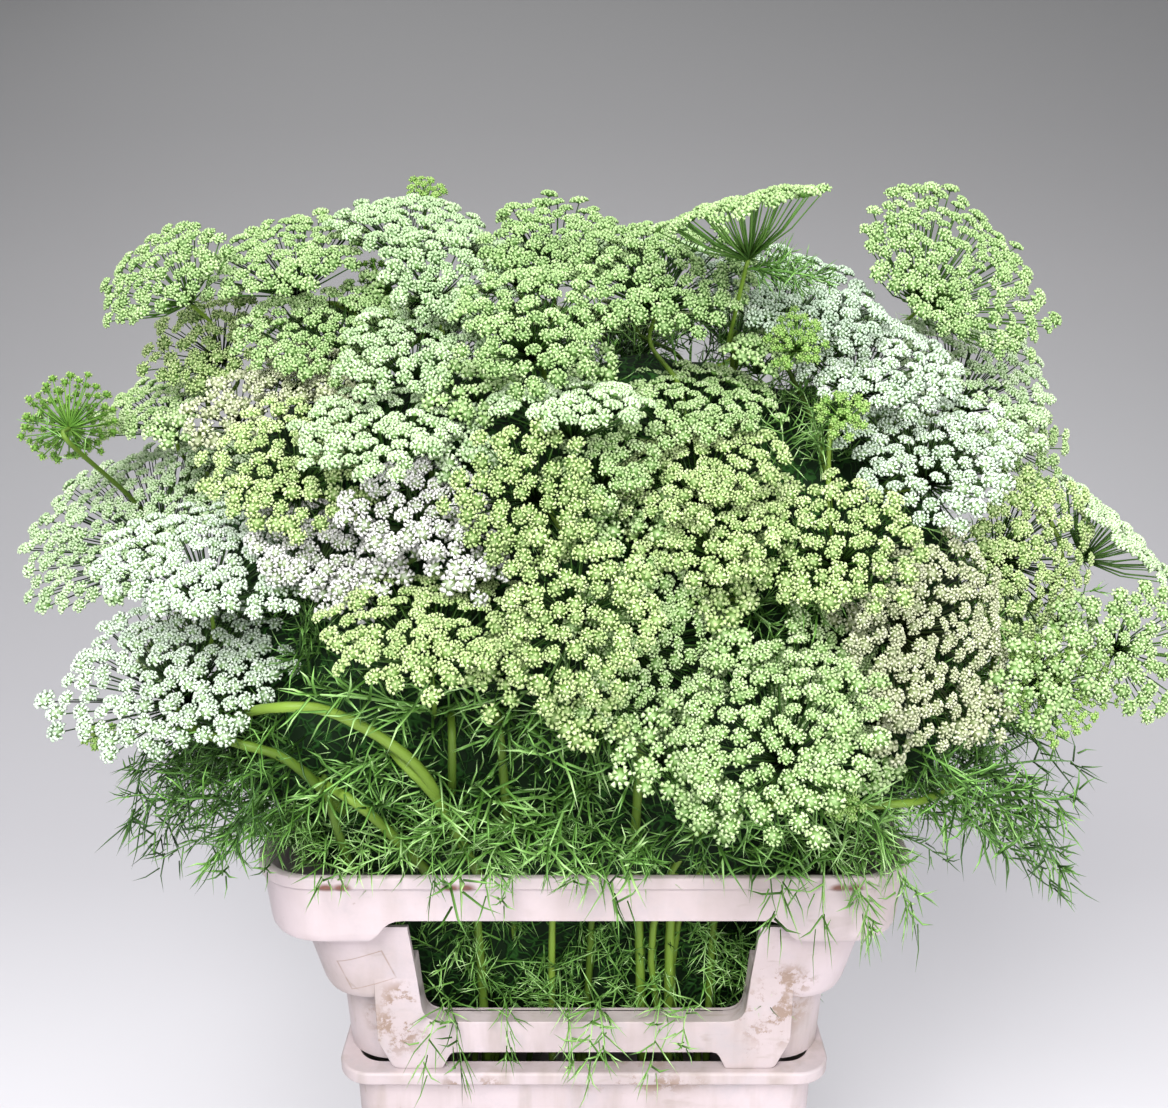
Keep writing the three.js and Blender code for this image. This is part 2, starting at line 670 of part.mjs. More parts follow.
// A three-sided tube through a row of rings, closed at both ends. A ring may have a spike: one of its three
// corners is drawn out to the spike's tip. Rings in a row draw out corners 0, 1, 2 in turn, so that each
// spike stands on plain corners all round it.
function spikedTube(rings) {
  const points = [];
  const faces = [];
  const tangents = rings.map((ring, i) => {
    const from = rings[Math.max(0, i - 1)].at;
    const to = rings[Math.min(rings.length - 1, i + 1)].at;
    return new THREE.Vector3().subVectors(to, from).normalize();
  });
  const normal = Math.abs(tangents[0].z) < 0.9 ? UP.clone() : new THREE.Vector3(1, 0, 0);
  rings.forEach((ring, i) => {
    const tangent = tangents[i];
    normal.addScaledVector(tangent, -normal.dot(tangent)).normalize();
    if (ring.twist) {
      normal.applyAxisAngle(tangent, ring.twist);
    }
    for (let corner = 0; corner < 3; corner++) {
      const side = normal.clone().applyAxisAngle(tangent, (2 * Math.PI * corner) / 3);
      const point = ring.spike && ring.spike.corner === corner
        ? ring.spike.tipFor(side, tangent)
        : ring.at.clone().addScaledVector(side, ring.radius);
      points.push(point.x, point.y, point.z);
    }
    if (i > 0) {
      const low = 3 * (i - 1);
      const high = 3 * i;
      for (let corner = 0; corner < 3; corner++) {
        const next = (corner + 1) % 3;
        faces.push(low + corner, low + next, high + corner, low + next, high + next, high + corner);
      }
    }
  });
  const last = 3 * (rings.length - 1);
  faces.push(0, 2, 1, last, last + 1, last + 2);
  const geometry = new THREE.BufferGeometry();
  geometry.setAttribute("position", new THREE.BufferAttribute(new Float32Array(points), 3));
  geometry.setIndex(faces);
  return toSolid(geometry);
}

// Keeps a point of a path inside its own bunch's room
const ROOM_MARGIN = 6;
function keepInRoom(point, bunch) {
  const side = bunch === 0 || bunch === 3 ? -1 : 1;
  if (bunch > 2) {
    point.y = Math.max(point.y, ROW_PLANE_Y + ROOM_MARGIN);
    point.x = side * Math.max(side * point.x, ROOM_MARGIN);
    return point;
  }
  point.y = Math.min(point.y, ROW_PLANE_Y - ROOM_MARGIN);
  const plane = frontPlaneX(point.z);
  if (bunch === 1) {
    point.x = THREE.MathUtils.clamp(point.x, ROOM_MARGIN - plane, plane - ROOM_MARGIN);
  } else {
    point.x = side * Math.max(side * point.x, plane + ROOM_MARGIN);
  }
  return point;
}

function gatePoint(hub, gate, bunch) {
  return keepInRoom(new THREE.Vector3(
    THREE.MathUtils.clamp(hub.x * gate.draw, -gate.halfWidth, gate.halfWidth),
    THREE.MathUtils.clamp(hub.y * gate.draw, -gate.halfDepth, gate.halfDepth),
    gate.z), bunch);
}

const between = (from, to, share) => new THREE.Vector3().lerpVectors(from, to, share);

function meetsCollar(point) {
  const pastX = Math.abs(point.x) > MOUTH.halfWidth + STEM_CLEARANCE;
  const pastY = Math.abs(point.y) > MOUTH.halfDepth + STEM_CLEARANCE;
  return point.z < COLLAR_TOP + STEM_CLEARANCE && (pastX || pastY);
}

function pathIsClear([from, to], own) {
  const points = Array.from({ length: 20 }, (_, i) => between(from, to, i / 20));
  const meets = (head) => points.some((point) => meetsHead(point, head, STEM_CLEARANCE) > 0);
  return !points.some(meetsCollar) && !heads.some((head) => head !== own && meets(head));
}

// A stem from its cut foot through the tie, the collar's throat and mouth, and up to its umbel's hub
function stemPath(head, order, count) {
  const { x, y } = BUNCHES[head.bunch];
  const angle = 2.4 * order;
  const spread = Math.sqrt((order + 0.5) / count);
  const around = (radius, z) =>
    new THREE.Vector3(x + radius * spread * Math.cos(angle), y + radius * spread * Math.sin(angle), z);
  const foot = around(FOOT_SPREAD, WALL + 2 * GAP);
  const tie = around(TIE_RADIUS - STEM_RADIUS, TIE_Z);
  const throat = gatePoint(head.hub, THROAT, head.bunch);
  const mouth = gatePoint(head.hub, MOUTH, head.bunch);
  const upper = [mouth, ...[0.25, 0.5, 0.75].map((share) => {
    const point = between(mouth, head.hub, share);
    point.z += 14 * Math.sin(Math.PI * share);
    return point;
  }), head.hub];
  return [foot, tie, between(tie, throat, 0.5), throat, ...bendClear(upper, head)];
}

// A side shoot from the nearest lower point of its bunch's stems that it can reach in a straight line
const SHOOT_DROP = 85;
function shootPath(head, stems) {
  const roots = [];
  for (const stem of stems) {
    for (let i = 1; i < stem.length; i++) {
      const point = between(stem[i - 1], stem[i], 0.5);
      const drop = Math.min(SHOOT_DROP, 0.6 * (head.hub.z - MOUTH.z));
      if (point.z > THROAT.z - 1 && point.z < head.hub.z - drop) {
        roots.push(point);
      }
    }
  }
  roots.sort((a, b) => a.distanceTo(head.hub) - b.distanceTo(head.hub));
  const reached = roots.find((root) => pathIsClear([root, head.hub], head));
  if (reached) {
    return [reached, head.hub];
  }
  const middle = [0.25, 0.5, 0.75].map((share) => between(roots[0], head.hub, share));
  return bendClear([roots[0], ...middle, head.hub], head);
}

// The rings of a stem: plain ones along its path, then three rays at the hub and a middle ray to the
// underside. The rays end just short of the umbel, or in it where the two are one body.
const RAY_STEP = 1.6;
function stemRings(path, head, radius) {
  const rings = path.slice(0, -1).map((at) => ({ at, radius }));
  const sink = isYoung(head) ? 1.5 : -(GAP + 0.1);
  const across = Math.min(RAY_SPREAD * head.radius, head.radius - 4);
  const onAxis = (height) => head.centre.clone().addScaledVector(head.normal, height);
  const hubHeight = -HUB_DEPTH * head.radius;
  const whorls = head.index < backStart && head.radius > 25 ? 1 : 0;
  for (let whorl = 0; whorl < whorls; whorl++) {
    const start = hubHeight + whorl * 4 * RAY_STEP;
    rings.push({ at: onAxis(start), radius: RAY_RADIUS + 0.4, twist: whorl ? Math.PI / 3 : 0 });
    for (let corner = 0; corner < 3; corner++) {
      const reach = across * (whorl ? 0.62 : 1);
      rings.push({ at: onAxis(start + (corner + 1) * RAY_STEP), radius: RAY_RADIUS,
        spike: { corner, tipFor: (side) => onAxis(sink).addScaledVector(side, reach) } });
    }
  }
  rings.push({ at: onAxis(hubHeight + whorls * 4 * RAY_STEP), radius: RAY_RADIUS });
  rings.push({ at: onAxis(sink), radius: RAY_RADIUS });
  return rings;
}

// Whether a leaf may be at a point: in its own bunch's room, clear of umbels, walls and the windows'
// way out
const LEAF_CLEARANCE = 2.5;
const LEAF_ROOM_LOW = { width: 366, depth: 254 };
function leafMayBeAt(point, bunch) {
  if (point.z < LEAF_FLOOR || roomLeft(point, bunch) < 1.5) {
    return false;
  }
  if (point.z < COLLAR_TOP + 6) {
    const across = Math.abs(point.x);
    const deep = Math.abs(point.y);
    const tier = point.z > BAND_Z + 8 ? COLLAR_BAND_FOOT : LEAF_ROOM_LOW;
    const inside = across < tier.width / 2 - 10 && deep < tier.depth / 2 - 10;
    const beforeWindow = across < WINDOW.topWidth / 2 + 12 && point.z < WINDOW.top + 10;
    const pastLip = across > COLLAR_LIP.width / 2 + 5 || deep > COLLAR_LIP.depth / 2 + 5;
    const outside = pastLip && !beforeWindow;
    if (!inside && !outside) {
      return false;
    }
  }
  return !heads.some((head) => meetsHead(point, head, LEAF_CLEARANCE) > 0);
}

function lineMayBe(from, to, bunch) {
  return [0.2, 0.4, 0.6, 0.8, 1].every((share) => leafMayBeAt(between(from, to, share), bunch));
}

// A frond: a slim core that droops to its tip, with whorls of three thread-like needles all round it
const CORE_RADIUS = 1.2;
const NEEDLE_STEP = 2.2;
const NEEDLE_LENGTH = 36;
function frond(base, direction, length, droop, whorls, bunch) {
  const pointAt = (share) => {
    const point = base.clone().addScaledVector(direction, share * length);
    point.z -= droop * share * share;
    return point;
  };
  const rings = [{ at: base, radius: CORE_RADIUS }];
  let kept = 0;
  for (let whorl = 0; whorl < whorls; whorl++) {
    const start = (whorl + 0.7) / (whorls + 0.2);
    const step = NEEDLE_STEP / length;
    const at = [0, 1, 2, 3, 4].map((i) => pointAt(start + (i - 2) * step));
    if (!lineMayBe(rings.at(-1).at, at[4], bunch)) {
      break;
    }
    rings.push({ at: at[0], radius: CORE_RADIUS, twist: Math.PI / 3 });
    for (let corner = 0; corner < 3; corner++) {
      const middle = at[corner + 1];
      const reach = NEEDLE_LENGTH * (1 - 0.35 * start);
      rings.push({ at: middle, radius: CORE_RADIUS, spike: { corner, tipFor: (side, tangent) => {
        const lean = side.clone().addScaledVector(tangent, 0.7).normalize();
        const size = [1, 0.7, 0.45].find((share) =>
          lineMayBe(middle, middle.clone().addScaledVector(lean, share * reach), bunch));
        return middle.clone().addScaledVector(size ? lean : side, size ? size * reach : CORE_RADIUS);
      } } });
    }
    rings.push({ at: at[4], radius: CORE_RADIUS });
    kept++;
  }
  if (kept === 0) {
    return null;
  }
  const tip = pointAt(1.06);
  if (kept === whorls && lineMayBe(rings.at(-1).at, tip, bunch)) {
    rings.push({ at: tip, radius: 0.35 });
  }
  return spikedTube(rings);
}

// Fronds up one stem, and long drooping ones where it leaves the collar
const FROND_STEPS = [4.3, 5.6];
function stemFronds(path, bunch, random) {
  const pieces = [];
  for (const step of FROND_STEPS) {
    const start = Math.floor(step);
    const base = between(path[start], path[start + 1], step - start);
    const turn = Math.atan2(base.x / 1.3, -base.y) + 1.5 * (random() - 0.5);
    const low = start === 4;
    const direction = new THREE.Vector3(Math.sin(turn), -Math.cos(turn), low ? 0.3 : 0.8).normalize();
    const length = low ? 110 + 40 * random() : 66 + 20 * random();
    const piece = frond(base, direction, length, low ? 50 + 30 * random() : 6, low ? 4 : 2, bunch);
    if (piece) {
      pieces.push(piece);
    }
  }
  return pieces;
}

function tieRing(bunch) {
  const ring = new THREE.CylinderGeometry(TIE_RADIUS + 1, TIE_RADIUS + 1, TIE_HEIGHT, 8);
  ring.rotateX(Math.PI / 2);
  ring.translate(bunch.x, bunch.y, TIE_Z);
  return toSolid(ring);
}

// What still touches an umbel is cut back to a small gap all round it
function clearOfUmbels(solid) {
  const shift = GAP + 0.05;
  const spread = 1.02;
  const box = solid.boundingBox();
  for (const head of heads) {
    const near = ["x", "y", "z"].every((axis, i) =>
      head.centre[axis] > box.min[i] - head.radius && head.centre[axis] < box.max[i] + head.radius);
    if (near && !isYoung(head)) {
      const grown = umbelSolid(head, spread);
      solid = solid.subtract(grown.translate(head.normal.clone().multiplyScalar(shift).toArray()));
      solid = solid.subtract(grown.translate(head.normal.clone().multiplyScalar(-shift).toArray()));
    }
  }
  return solid;
}

// Every so many umbels round a bunch end a stem of their own, and the others are side shoots of those
const UMBELS_PER_STEM = 5;
function buildBunch(bunch, number) {
  const random = seededRandom(40 + number);
  const own = heads.filter((head) => head.bunch === number).sort((a, b) => a.turn - b.turn);
  const mains = own.filter((head, i) => i % UMBELS_PER_STEM === 1);
  const paths = mains.map((head, order) => stemPath(head, order, mains.length));
  const pieces = [tieRing(bunch)];
  mains.forEach((head, i) => {
    pieces.push(spikedTube(stemRings(paths[i], head, STEM_RADIUS)));
    pieces.push(...stemFronds(paths[i], number, random));
  });
  for (const head of own) {
    if (!mains.includes(head)) {
      const path = shootPath(head, paths);
      paths.push(path);
      pieces.push(spikedTube(stemRings(path, head, BRANCH_RADIUS)));
    }
    if (isYoung(head)) {
      pieces.push(umbelSolid(head));
    }
  }
  const joined = clearOfUmbels(join(pieces));
  addPart(bunch.name, toGeometry(largestPiece(joined)), GREENERY);
}

buildBucket();
buildCollar();
buildWater();
BUNCHES.forEach(buildBunch);
buildUmbels();

export default group;
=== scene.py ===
"""A tall white flower bucket full of toothpick weed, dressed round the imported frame.

Lengths are in metres, +Z is up and the photo looks along +Y. Every umbel keeps the place, the
facing and the radius of its CAD node, and gets its rays, umbellets and florets here.
"""
import json
import logging
import math
from dataclasses import dataclass, field
from enum import Enum, IntEnum

import bmesh
import bpy
import numpy as np
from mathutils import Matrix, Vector, noise


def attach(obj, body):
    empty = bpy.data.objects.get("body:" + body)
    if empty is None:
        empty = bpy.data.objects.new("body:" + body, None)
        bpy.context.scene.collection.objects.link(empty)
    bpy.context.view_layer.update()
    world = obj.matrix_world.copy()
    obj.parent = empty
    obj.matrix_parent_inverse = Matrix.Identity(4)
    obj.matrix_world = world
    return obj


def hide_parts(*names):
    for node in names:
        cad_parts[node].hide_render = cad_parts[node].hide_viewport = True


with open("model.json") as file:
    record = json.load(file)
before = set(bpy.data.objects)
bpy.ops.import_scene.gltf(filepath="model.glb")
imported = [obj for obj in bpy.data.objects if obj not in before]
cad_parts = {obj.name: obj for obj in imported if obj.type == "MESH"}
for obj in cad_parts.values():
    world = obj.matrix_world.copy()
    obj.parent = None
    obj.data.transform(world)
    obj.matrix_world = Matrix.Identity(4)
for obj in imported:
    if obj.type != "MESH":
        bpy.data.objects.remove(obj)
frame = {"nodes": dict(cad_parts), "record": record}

LOG = logging.getLogger("toothpick_weed")
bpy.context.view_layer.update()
ROOT = "root"
PALETTE = "OFBake"
GOLDEN_TURN = math.pi * (3 - math.sqrt(5))
UP = np.array([0.0, 0.0, 1.0])
MERGED = 1e-5
SLOTS = {row["node"]: row["material_slot"] for row in frame["record"]["subparts"]}

Colour = tuple[float, float, float]
Span = float | tuple[float, float]
Spans = tuple[Span, Span, Span]


class Seed(IntEnum):
    """Where the random draws of each kind of growth start."""

    UMBELLETS = 7
    FILLERS = 41
    FRONDS = 70
    ALONG_STEMS = 71
    SKIRT = 72
    WINDOWS = 73
    LIP = 74
    DOME = 75
    CORNERS = 76
    SIDES = 77
    TUFT = 78
    STALKS = 300
    UMBELS = 900

    def rng(self, further: int = 0) -> np.random.Generator:
        """Starts a generator, or the one that is some numbers further on."""
        return np.random.default_rng(self.value + further)


def drawn(rng: np.random.Generator, *spans: Span) -> np.ndarray:
    """Draws a number from each span in order, and keeps the bare numbers as they are."""
    return np.array([rng.uniform(*span) if isinstance(span, tuple) else span for span in spans])


def srgb(red: int, green: int, blue: int) -> Colour:
    """Turns an 8-bit screen colour into linear light.

    Args:
        red: Red, 0 to 255.
        green: Green, 0 to 255.
        blue: Blue, 0 to 255.

    Returns:
        The linear colour.
    """
    steps = (red, green, blue)
    return tuple(((c / 255 + 0.055) / 1.055) ** 2.4 if c > 10 else c / 3294 for c in steps)


def climb(value: np.ndarray | float, start: float, width: float) -> np.ndarray | float:
    """Rises from 0 at the start to 1 a width further on, and keeps between them."""
    return np.clip((value - start) / width, 0, 1)


def of_kind(made: dict, kind: type) -> list:
    """Picks the vertices, the edges or the faces out of what an operator made."""
    return [item for item in made["geom"] if isinstance(item, kind)]


def mesh_of(bm: bmesh.types.BMesh, name: str) -> bpy.types.Mesh:
    """Turns a bmesh into a mesh and frees it."""
    mesh = bpy.data.meshes.new(name)
    bm.to_mesh(mesh)
    bm.free()
    return mesh


def linked(name: str, data: bpy.types.ID) -> bpy.types.Object:
    """Makes an object of the data and links it to the scene."""
    made = bpy.data.objects.new(name, data)
    bpy.context.scene.collection.objects.link(made)
    return made


def rooted(mesh: bpy.types.Mesh) -> bpy.types.Object:
    """Links an object for the mesh and rides it on the root body."""
    made = linked(mesh.name, mesh)
    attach(made, ROOT)
    return made


def unit(vector: np.ndarray) -> np.ndarray:
    """Returns the vector, or each row of them, at length 1."""
    return vector / np.maximum(np.linalg.norm(vector, axis=-1, keepdims=True), 1e-12)


def heading(turn: float, rise: float) -> np.ndarray:
    """Gives a direction by its turn from the front and its rise.

    Args:
        turn: Degrees round from the front, positive to the right.
        rise: Degrees above the horizon.

    Returns:
        The direction as a vector of length 1.
    """
    t, r = math.radians(turn), math.radians(rise)
    return np.array([math.sin(t) * math.cos(r), -math.cos(t) * math.cos(r), math.sin(r)])


def frames_along(axes: np.ndarray, spins: np.ndarray) -> np.ndarray:
    """Makes turned frames whose third column is each axis.

    Args:
        axes: Directions, one row each.
        spins: The angle that each frame is spun about its axis.

    Returns:
        An array of 3 by 3 matrices.
    """
    axes = unit(np.asarray(axes, float))
    aside = np.where(np.abs(axes[:, 2:3]) < 0.9, UP, np.array([1.0, 0.0, 0.0]))
    first = unit(np.cross(aside, axes))
    second = np.cross(axes, first)
    cos, sin = np.cos(spins)[:, None], np.sin(spins)[:, None]
    return np.stack([first * cos + second * sin, second * cos - first * sin, axes], axis=2)


class Template:
    """A small closed mesh that is stamped many times: its points, triangles, heights and tones."""

    def __init__(self, points: np.ndarray, faces: np.ndarray, height: np.ndarray, tone: np.ndarray) -> None:
        """Keeps the arrays.

        Args:
            points: Places of the vertices.
            faces: Three vertex numbers a triangle.
            height: From 0 at the base to 1 at the tip, one a vertex.
            tone: What is added to the stamp's own tone, one a triangle.
        """
        self.points, self.faces, self.height, self.tone = points, faces, height, tone

    @classmethod
    def from_bmesh(cls, bm: bmesh.types.BMesh) -> "Template":
        """Reads a bmesh, with the heights measured along its Z, and frees it."""
        bmesh.ops.triangulate(bm, faces=bm.faces[:])
        bmesh.ops.recalc_face_normals(bm, faces=bm.faces[:])
        bm.verts.index_update()
        points = np.array([v.co[:] for v in bm.verts])
        faces = np.array([[v.index for v in f.verts] for f in bm.faces])
        bm.free()
        low, high = points[:, 2].min(), points[:, 2].max()
        return cls(points, faces, (points[:, 2] - low) / max(high - low, 1e-9), np.zeros(len(faces)))


def cone(sides: int, foot: float, top: float, length: float, low: float = 0.0) -> bmesh.types.BMesh:
    """Makes a closed cone along +Z.

    Args:
        sides: How many sides it has.
        foot: Its radius at the foot.
        top: Its radius at the top.
        length: How tall it is.
        low: The height of its foot.

    Returns:
        The cone.
    """
    bm = bmesh.new()
    bmesh.ops.create_cone(bm, cap_ends=True, segments=sides, radius1=foot, radius2=top, depth=length)
    bmesh.ops.translate(bm, verts=bm.verts[:], vec=(0, 0, low + length / 2))
    return bm


def top_face(bm: bmesh.types.BMesh) -> bmesh.types.BMFace:
    """Finds the face that lies highest."""
    return max(bm.faces, key=lambda face: face.calc_center_median().z)


def spike_template() -> Template:
    """A three-sided thorn of length 1 along +Z and of radius 1 at its foot."""
    return Template.from_bmesh(cone(3, 1, 0, 1))


def cushion_template(sides: int) -> Template:
    """The green heart of an umbellet of radius 1: a funnel up to its rim, and a low roof."""
    bm = cone(sides, 0, 0.84, 0.34)
    bmesh.ops.remove_doubles(bm, verts=bm.verts[:], dist=MERGED)
    bmesh.ops.poke(bm, faces=[top_face(bm)], offset=0.32)
    return Template.from_bmesh(bm)


def floret_template() -> Template:
    """A floret of radius 1: a three-sided club that widens from a point up to its pale face."""
    bm = cone(3, 0, 1.25, 2.6, -2.2)
    bmesh.ops.remove_doubles(bm, verts=bm.verts[:], dist=MERGED)
    return Template.from_bmesh(bm)


def thread_template() -> Template:
    """A thread of length 1 and foot radius 1, in two parts, for bending: its rings at 0, 0.55 and 1."""
    bm = cone(3, 1, 0.85, 0.55)
    top = top_face(bm)
    tip = of_kind(bmesh.ops.extrude_face_region(bm, geom=[top]), bmesh.types.BMVert)
    bmesh.ops.delete(bm, geom=[top], context="FACES_ONLY")
    bmesh.ops.pointmerge(bm, verts=tip, merge_co=(0, 0, 1))
    return Template.from_bmesh(bm)


def tube_template(sides: int, rings: int) -> Template:
    """A closed tube of radius 1 whose rings stand at heights 0, 1, 2 and so on."""
    bm = bmesh.new()
    bmesh.ops.create_circle(bm, cap_ends=True, segments=sides, radius=1)
    top = bm.faces[:]
    for _ in range(rings - 1):
        made = bmesh.ops.extrude_face_region(bm, geom=top)
        if top[0].is_valid and len(bm.faces) > sides + 2:
            bmesh.ops.delete(bm, geom=top, context="FACES_ONLY")
        top = of_kind(made, bmesh.types.BMFace)
        bmesh.ops.translate(bm, verts=[v for f in top for v in f.verts], vec=(0, 0, 1))
    return Template.from_bmesh(bm)


@dataclass(frozen=True)
class Band:
    """A stretch of the palette map's V, from a piece's base to its tip."""

    low: float
    high: float


GREEN_PART = Band(0.02, 0.38)
HEART_PART = Band(0.2, 0.52)
PETAL_PART = Band(0.46, 0.98)
WHOLE = Band(0.02, 0.98)
TONE_WIDTH = 0.012
LEAST_RISE = 0.012


class Cloud:
    """Gathers many stamped templates into one mesh with a palette map."""

    def __init__(self) -> None:
        """Starts empty."""
        self.points: list[np.ndarray] = []
        self.faces: list[np.ndarray] = []
        self.coords: list[np.ndarray] = []
        self.size = 0

    def add(self, points: np.ndarray, template: Template, tones: np.ndarray, band: Band) -> None:
        """Adds copies whose points are already placed.

        Args:
            points: Copies by vertices by 3.
            template: What the copies are of.
            tones: One tone a copy, 0 to 1.
            band: The part of the palette that they use.
        """
        copies, per_copy = points.shape[:2]
        offsets = self.size + per_copy * np.arange(copies)
        self.points.append(points.reshape(-1, 3))
        self.faces.append((template.faces[None] + offsets[:, None, None]).reshape(-1, 3))
        tone = np.clip(tones[:, None] + template.tone[None], 0.02, 0.98)
        across = tone[:, :, None] + np.array([-TONE_WIDTH, TONE_WIDTH, 0.0])
        rise = band.low + (band.high - band.low) * template.height[template.faces]
        rise = rise + np.array([0.0, 0.0, LEAST_RISE])
        coords = np.stack([across, np.broadcast_to(rise, across.shape)], axis=-1)
        self.coords.append(coords.reshape(-1, 2))
        self.size += copies * per_copy

    def stamp(self, template: Template, origins: np.ndarray, matrices: np.ndarray,
              tones: np.ndarray, band: Band = WHOLE) -> None:
        """Adds a copy at each origin, turned and sized by its matrix.

        Args:
            template: What to copy.
            origins: One place a copy.
            matrices: One 3 by 3 matrix a copy.
            tones: One tone a copy, 0 to 1.
            band: The part of the palette that they use.
        """
        placed = np.einsum("kij,nj->kni", matrices, template.points) + origins[:, None]
        self.add(placed, template, tones, band)

    def sweep(self, template: Template, paths: np.ndarray, radii: np.ndarray,
              tones: np.ndarray, band: Band = WHOLE) -> None:
        """Bends a tube template along each path.

        Args:
            template: A tube with as many rings as a path has points.
            paths: Copies by rings by 3.
            radii: Copies by rings.
            tones: One tone a copy, 0 to 1.
            band: The part of the palette that they use.
        """
        ahead = np.concatenate([paths[:, 1:], paths[:, -1:]], axis=1)
        behind = np.concatenate([paths[:, :1], paths[:, :-1]], axis=1)
        tangents = unit(ahead - behind)
        chord = unit(paths[:, -1] - paths[:, 0])
        aside = np.where(np.abs(chord[:, 2:3]) < 0.8, UP, np.array([1.0, 0.3, 0.0]))
        first = unit(np.cross(tangents, aside[:, None]))
        second = np.cross(tangents, first)
        ring = np.rint(template.points[:, 2]).astype(int)
        flat = template.points[:, :2]
        placed = paths[:, ring] + radii[:, ring, None] * (
            flat[None, :, 0:1] * first[:, ring] + flat[None, :, 1:2] * second[:, ring])
        self.add(placed, template, tones, band)

    def template(self) -> Template:
        """Returns what was gathered as one template, with its heights and tones read from the map."""
        points, faces = np.concatenate(self.points), np.concatenate(self.faces)
        coords = np.concatenate(self.coords).reshape(-1, 3, 2)
        height = np.zeros(len(points))
        height[faces.ravel()] = (coords[:, :, 1] - np.array([0.0, 0.0, LEAST_RISE])).ravel()
        return Template(points, faces, height, coords[:, :, 0].mean(axis=1) - 0.5)

    def join(self, other: "Cloud") -> None:
        """Takes in what another cloud has gathered."""
        self.points += other.points
        self.faces += [faces + self.size for faces in other.faces]
        self.coords += other.coords
        self.size += other.size

    def piece(self, name: str, material: bpy.types.Material) -> bpy.types.Object:
        """Makes the object and rides it on the root body.

        Args:
            name: The piece's name.
            material: Its finish.

        Returns:
            The new object.
        """
        points, faces = np.concatenate(self.points), np.concatenate(self.faces)
        coords = np.concatenate(self.coords)
        mesh = bpy.data.meshes.new(name)
        mesh.vertices.add(len(points))
        mesh.vertices.foreach_set("co", points.astype(np.float32).ravel())
        mesh.loops.add(faces.size)
        mesh.loops.foreach_set("vertex_index", faces.astype(np.int32).ravel())
        mesh.polygons.add(len(faces))
        mesh.polygons.foreach_set("loop_start", np.arange(0, faces.size, 3, dtype=np.int32))
        mesh.polygons.foreach_set("use_smooth", np.full(len(faces), True))
        layer = mesh.uv_layers.new(name=PALETTE)
        layer.data.foreach_set("uv", coords.astype(np.float32).ravel())
        mesh.update()
        mesh.validate()
        mesh.materials.append(material)
        return rooted(mesh)


class Graph:
    """A short way to wire a material's nodes."""

    def __init__(self, tree: bpy.types.NodeTree) -> None:
        """Keeps the tree and empties it."""
        self.tree = tree
        self.tree.nodes.clear()

    def node(self, kind: str, inputs: dict | None = None, **settings: object) -> bpy.types.Node:
        """Adds a node.

        Args:
            kind: The node's type, without its ShaderNode prefix.
            inputs: Values or sockets by input name or number.
            settings: Attributes to set first.

        Returns:
            The node.
        """
        made = self.tree.nodes.new("ShaderNode" + kind)
        for key, value in settings.items():
            setattr(made, key, value)
        for key, value in (inputs or {}).items():
            if isinstance(value, bpy.types.NodeSocket):
                self.tree.links.new(value, made.inputs[key])
            elif isinstance(value, tuple) and made.inputs[key].type == "RGBA":
                made.inputs[key].default_value = (*value, 1.0)
            else:
                made.inputs[key].default_value = value
        return made

    def value(self, kind: str, inputs: dict, **settings: object) -> object:
        """Adds a node and returns its first output."""
        return self.node(kind, inputs, **settings).outputs[0]

    def place(self) -> object:
        """Gives the object coordinates."""
        return self.node("TexCoord").outputs["Object"]

    def parts(self, vector: object) -> object:
        """Splits a vector into its three parts."""
        return self.node("SeparateXYZ", {0: vector}).outputs

    def maths(self, operation: str, first: object, second: object = 0.0) -> object:
        """Adds a Math node and returns its output."""
        return self.value("Math", {0: first, 1: second}, operation=operation)

    def times(self, first: object, second: object) -> object:
        """Multiplies two values."""
        return self.maths("MULTIPLY", first, second)

    def vector(self, operation: str, first: object, second: object) -> object:
        """Adds a node that works on vectors and returns its vector."""
        return self.value("VectorMath", {0: first, 1: second}, operation=operation)

    def noise(self, place: object, scale: float, detail: float, roughness: float = 0.5) -> object:
        """Adds a noise texture and returns its value."""
        return self.value("TexNoise", {
            "Vector": place, "Scale": scale, "Detail": detail, "Roughness": roughness})

    def span(self, value: object, low: float, high: float) -> object:
        """Maps a value to 0 at low and 1 at high, and keeps it between them."""
        return self.value("MapRange", {0: value, 1: low, 2: high}, clamp=True)

    def mapped(self, place: object, scale: tuple, turn: tuple = (0.0, 0.0, 0.0)) -> object:
        """Turns and scales a place."""
        return self.value("Mapping", {"Vector": place, "Rotation": turn, "Scale": scale})

    def bump(self, height: object, strength: float, reach: float) -> object:
        """Turns heights into a normal."""
        return self.value("Bump", {"Height": height, "Strength": strength, "Distance": reach})

    def surface(self, colour: object, roughness: object, gloss: float, normal: object = None) -> None:
        """Ends the graph in a surface of that colour, roughness, gloss and normal."""
        inputs = {"Base Color": colour, "Roughness": roughness, "Specular IOR Level": gloss}
        if normal is not None:
            inputs["Normal"] = normal
        self.node("OutputMaterial", {0: self.value("BsdfPrincipled", inputs)})

    def ramp(self, value: object, stops: list[tuple[float, Colour]]) -> object:
        """Adds a colour ramp and returns its colour.

        Args:
            value: The socket that runs along the ramp.
            stops: Places and colours, in order.

        Returns:
            The colour output.
        """
        made = self.node("ValToRGB", {0: value})
        ends = made.color_ramp.elements
        while len(ends) < len(stops):
            ends.new(0.5)
        for end, (place, colour) in zip(ends, stops):
            end.position = place
            end.color = (*colour, 1.0)
        return made.outputs[0]

    def mix(self, share: object, first: object, second: object) -> object:
        """Mixes two colours and returns the result."""
        return self.node("Mix", {0: share, 6: first, 7: second}, data_type="RGBA").outputs[2]


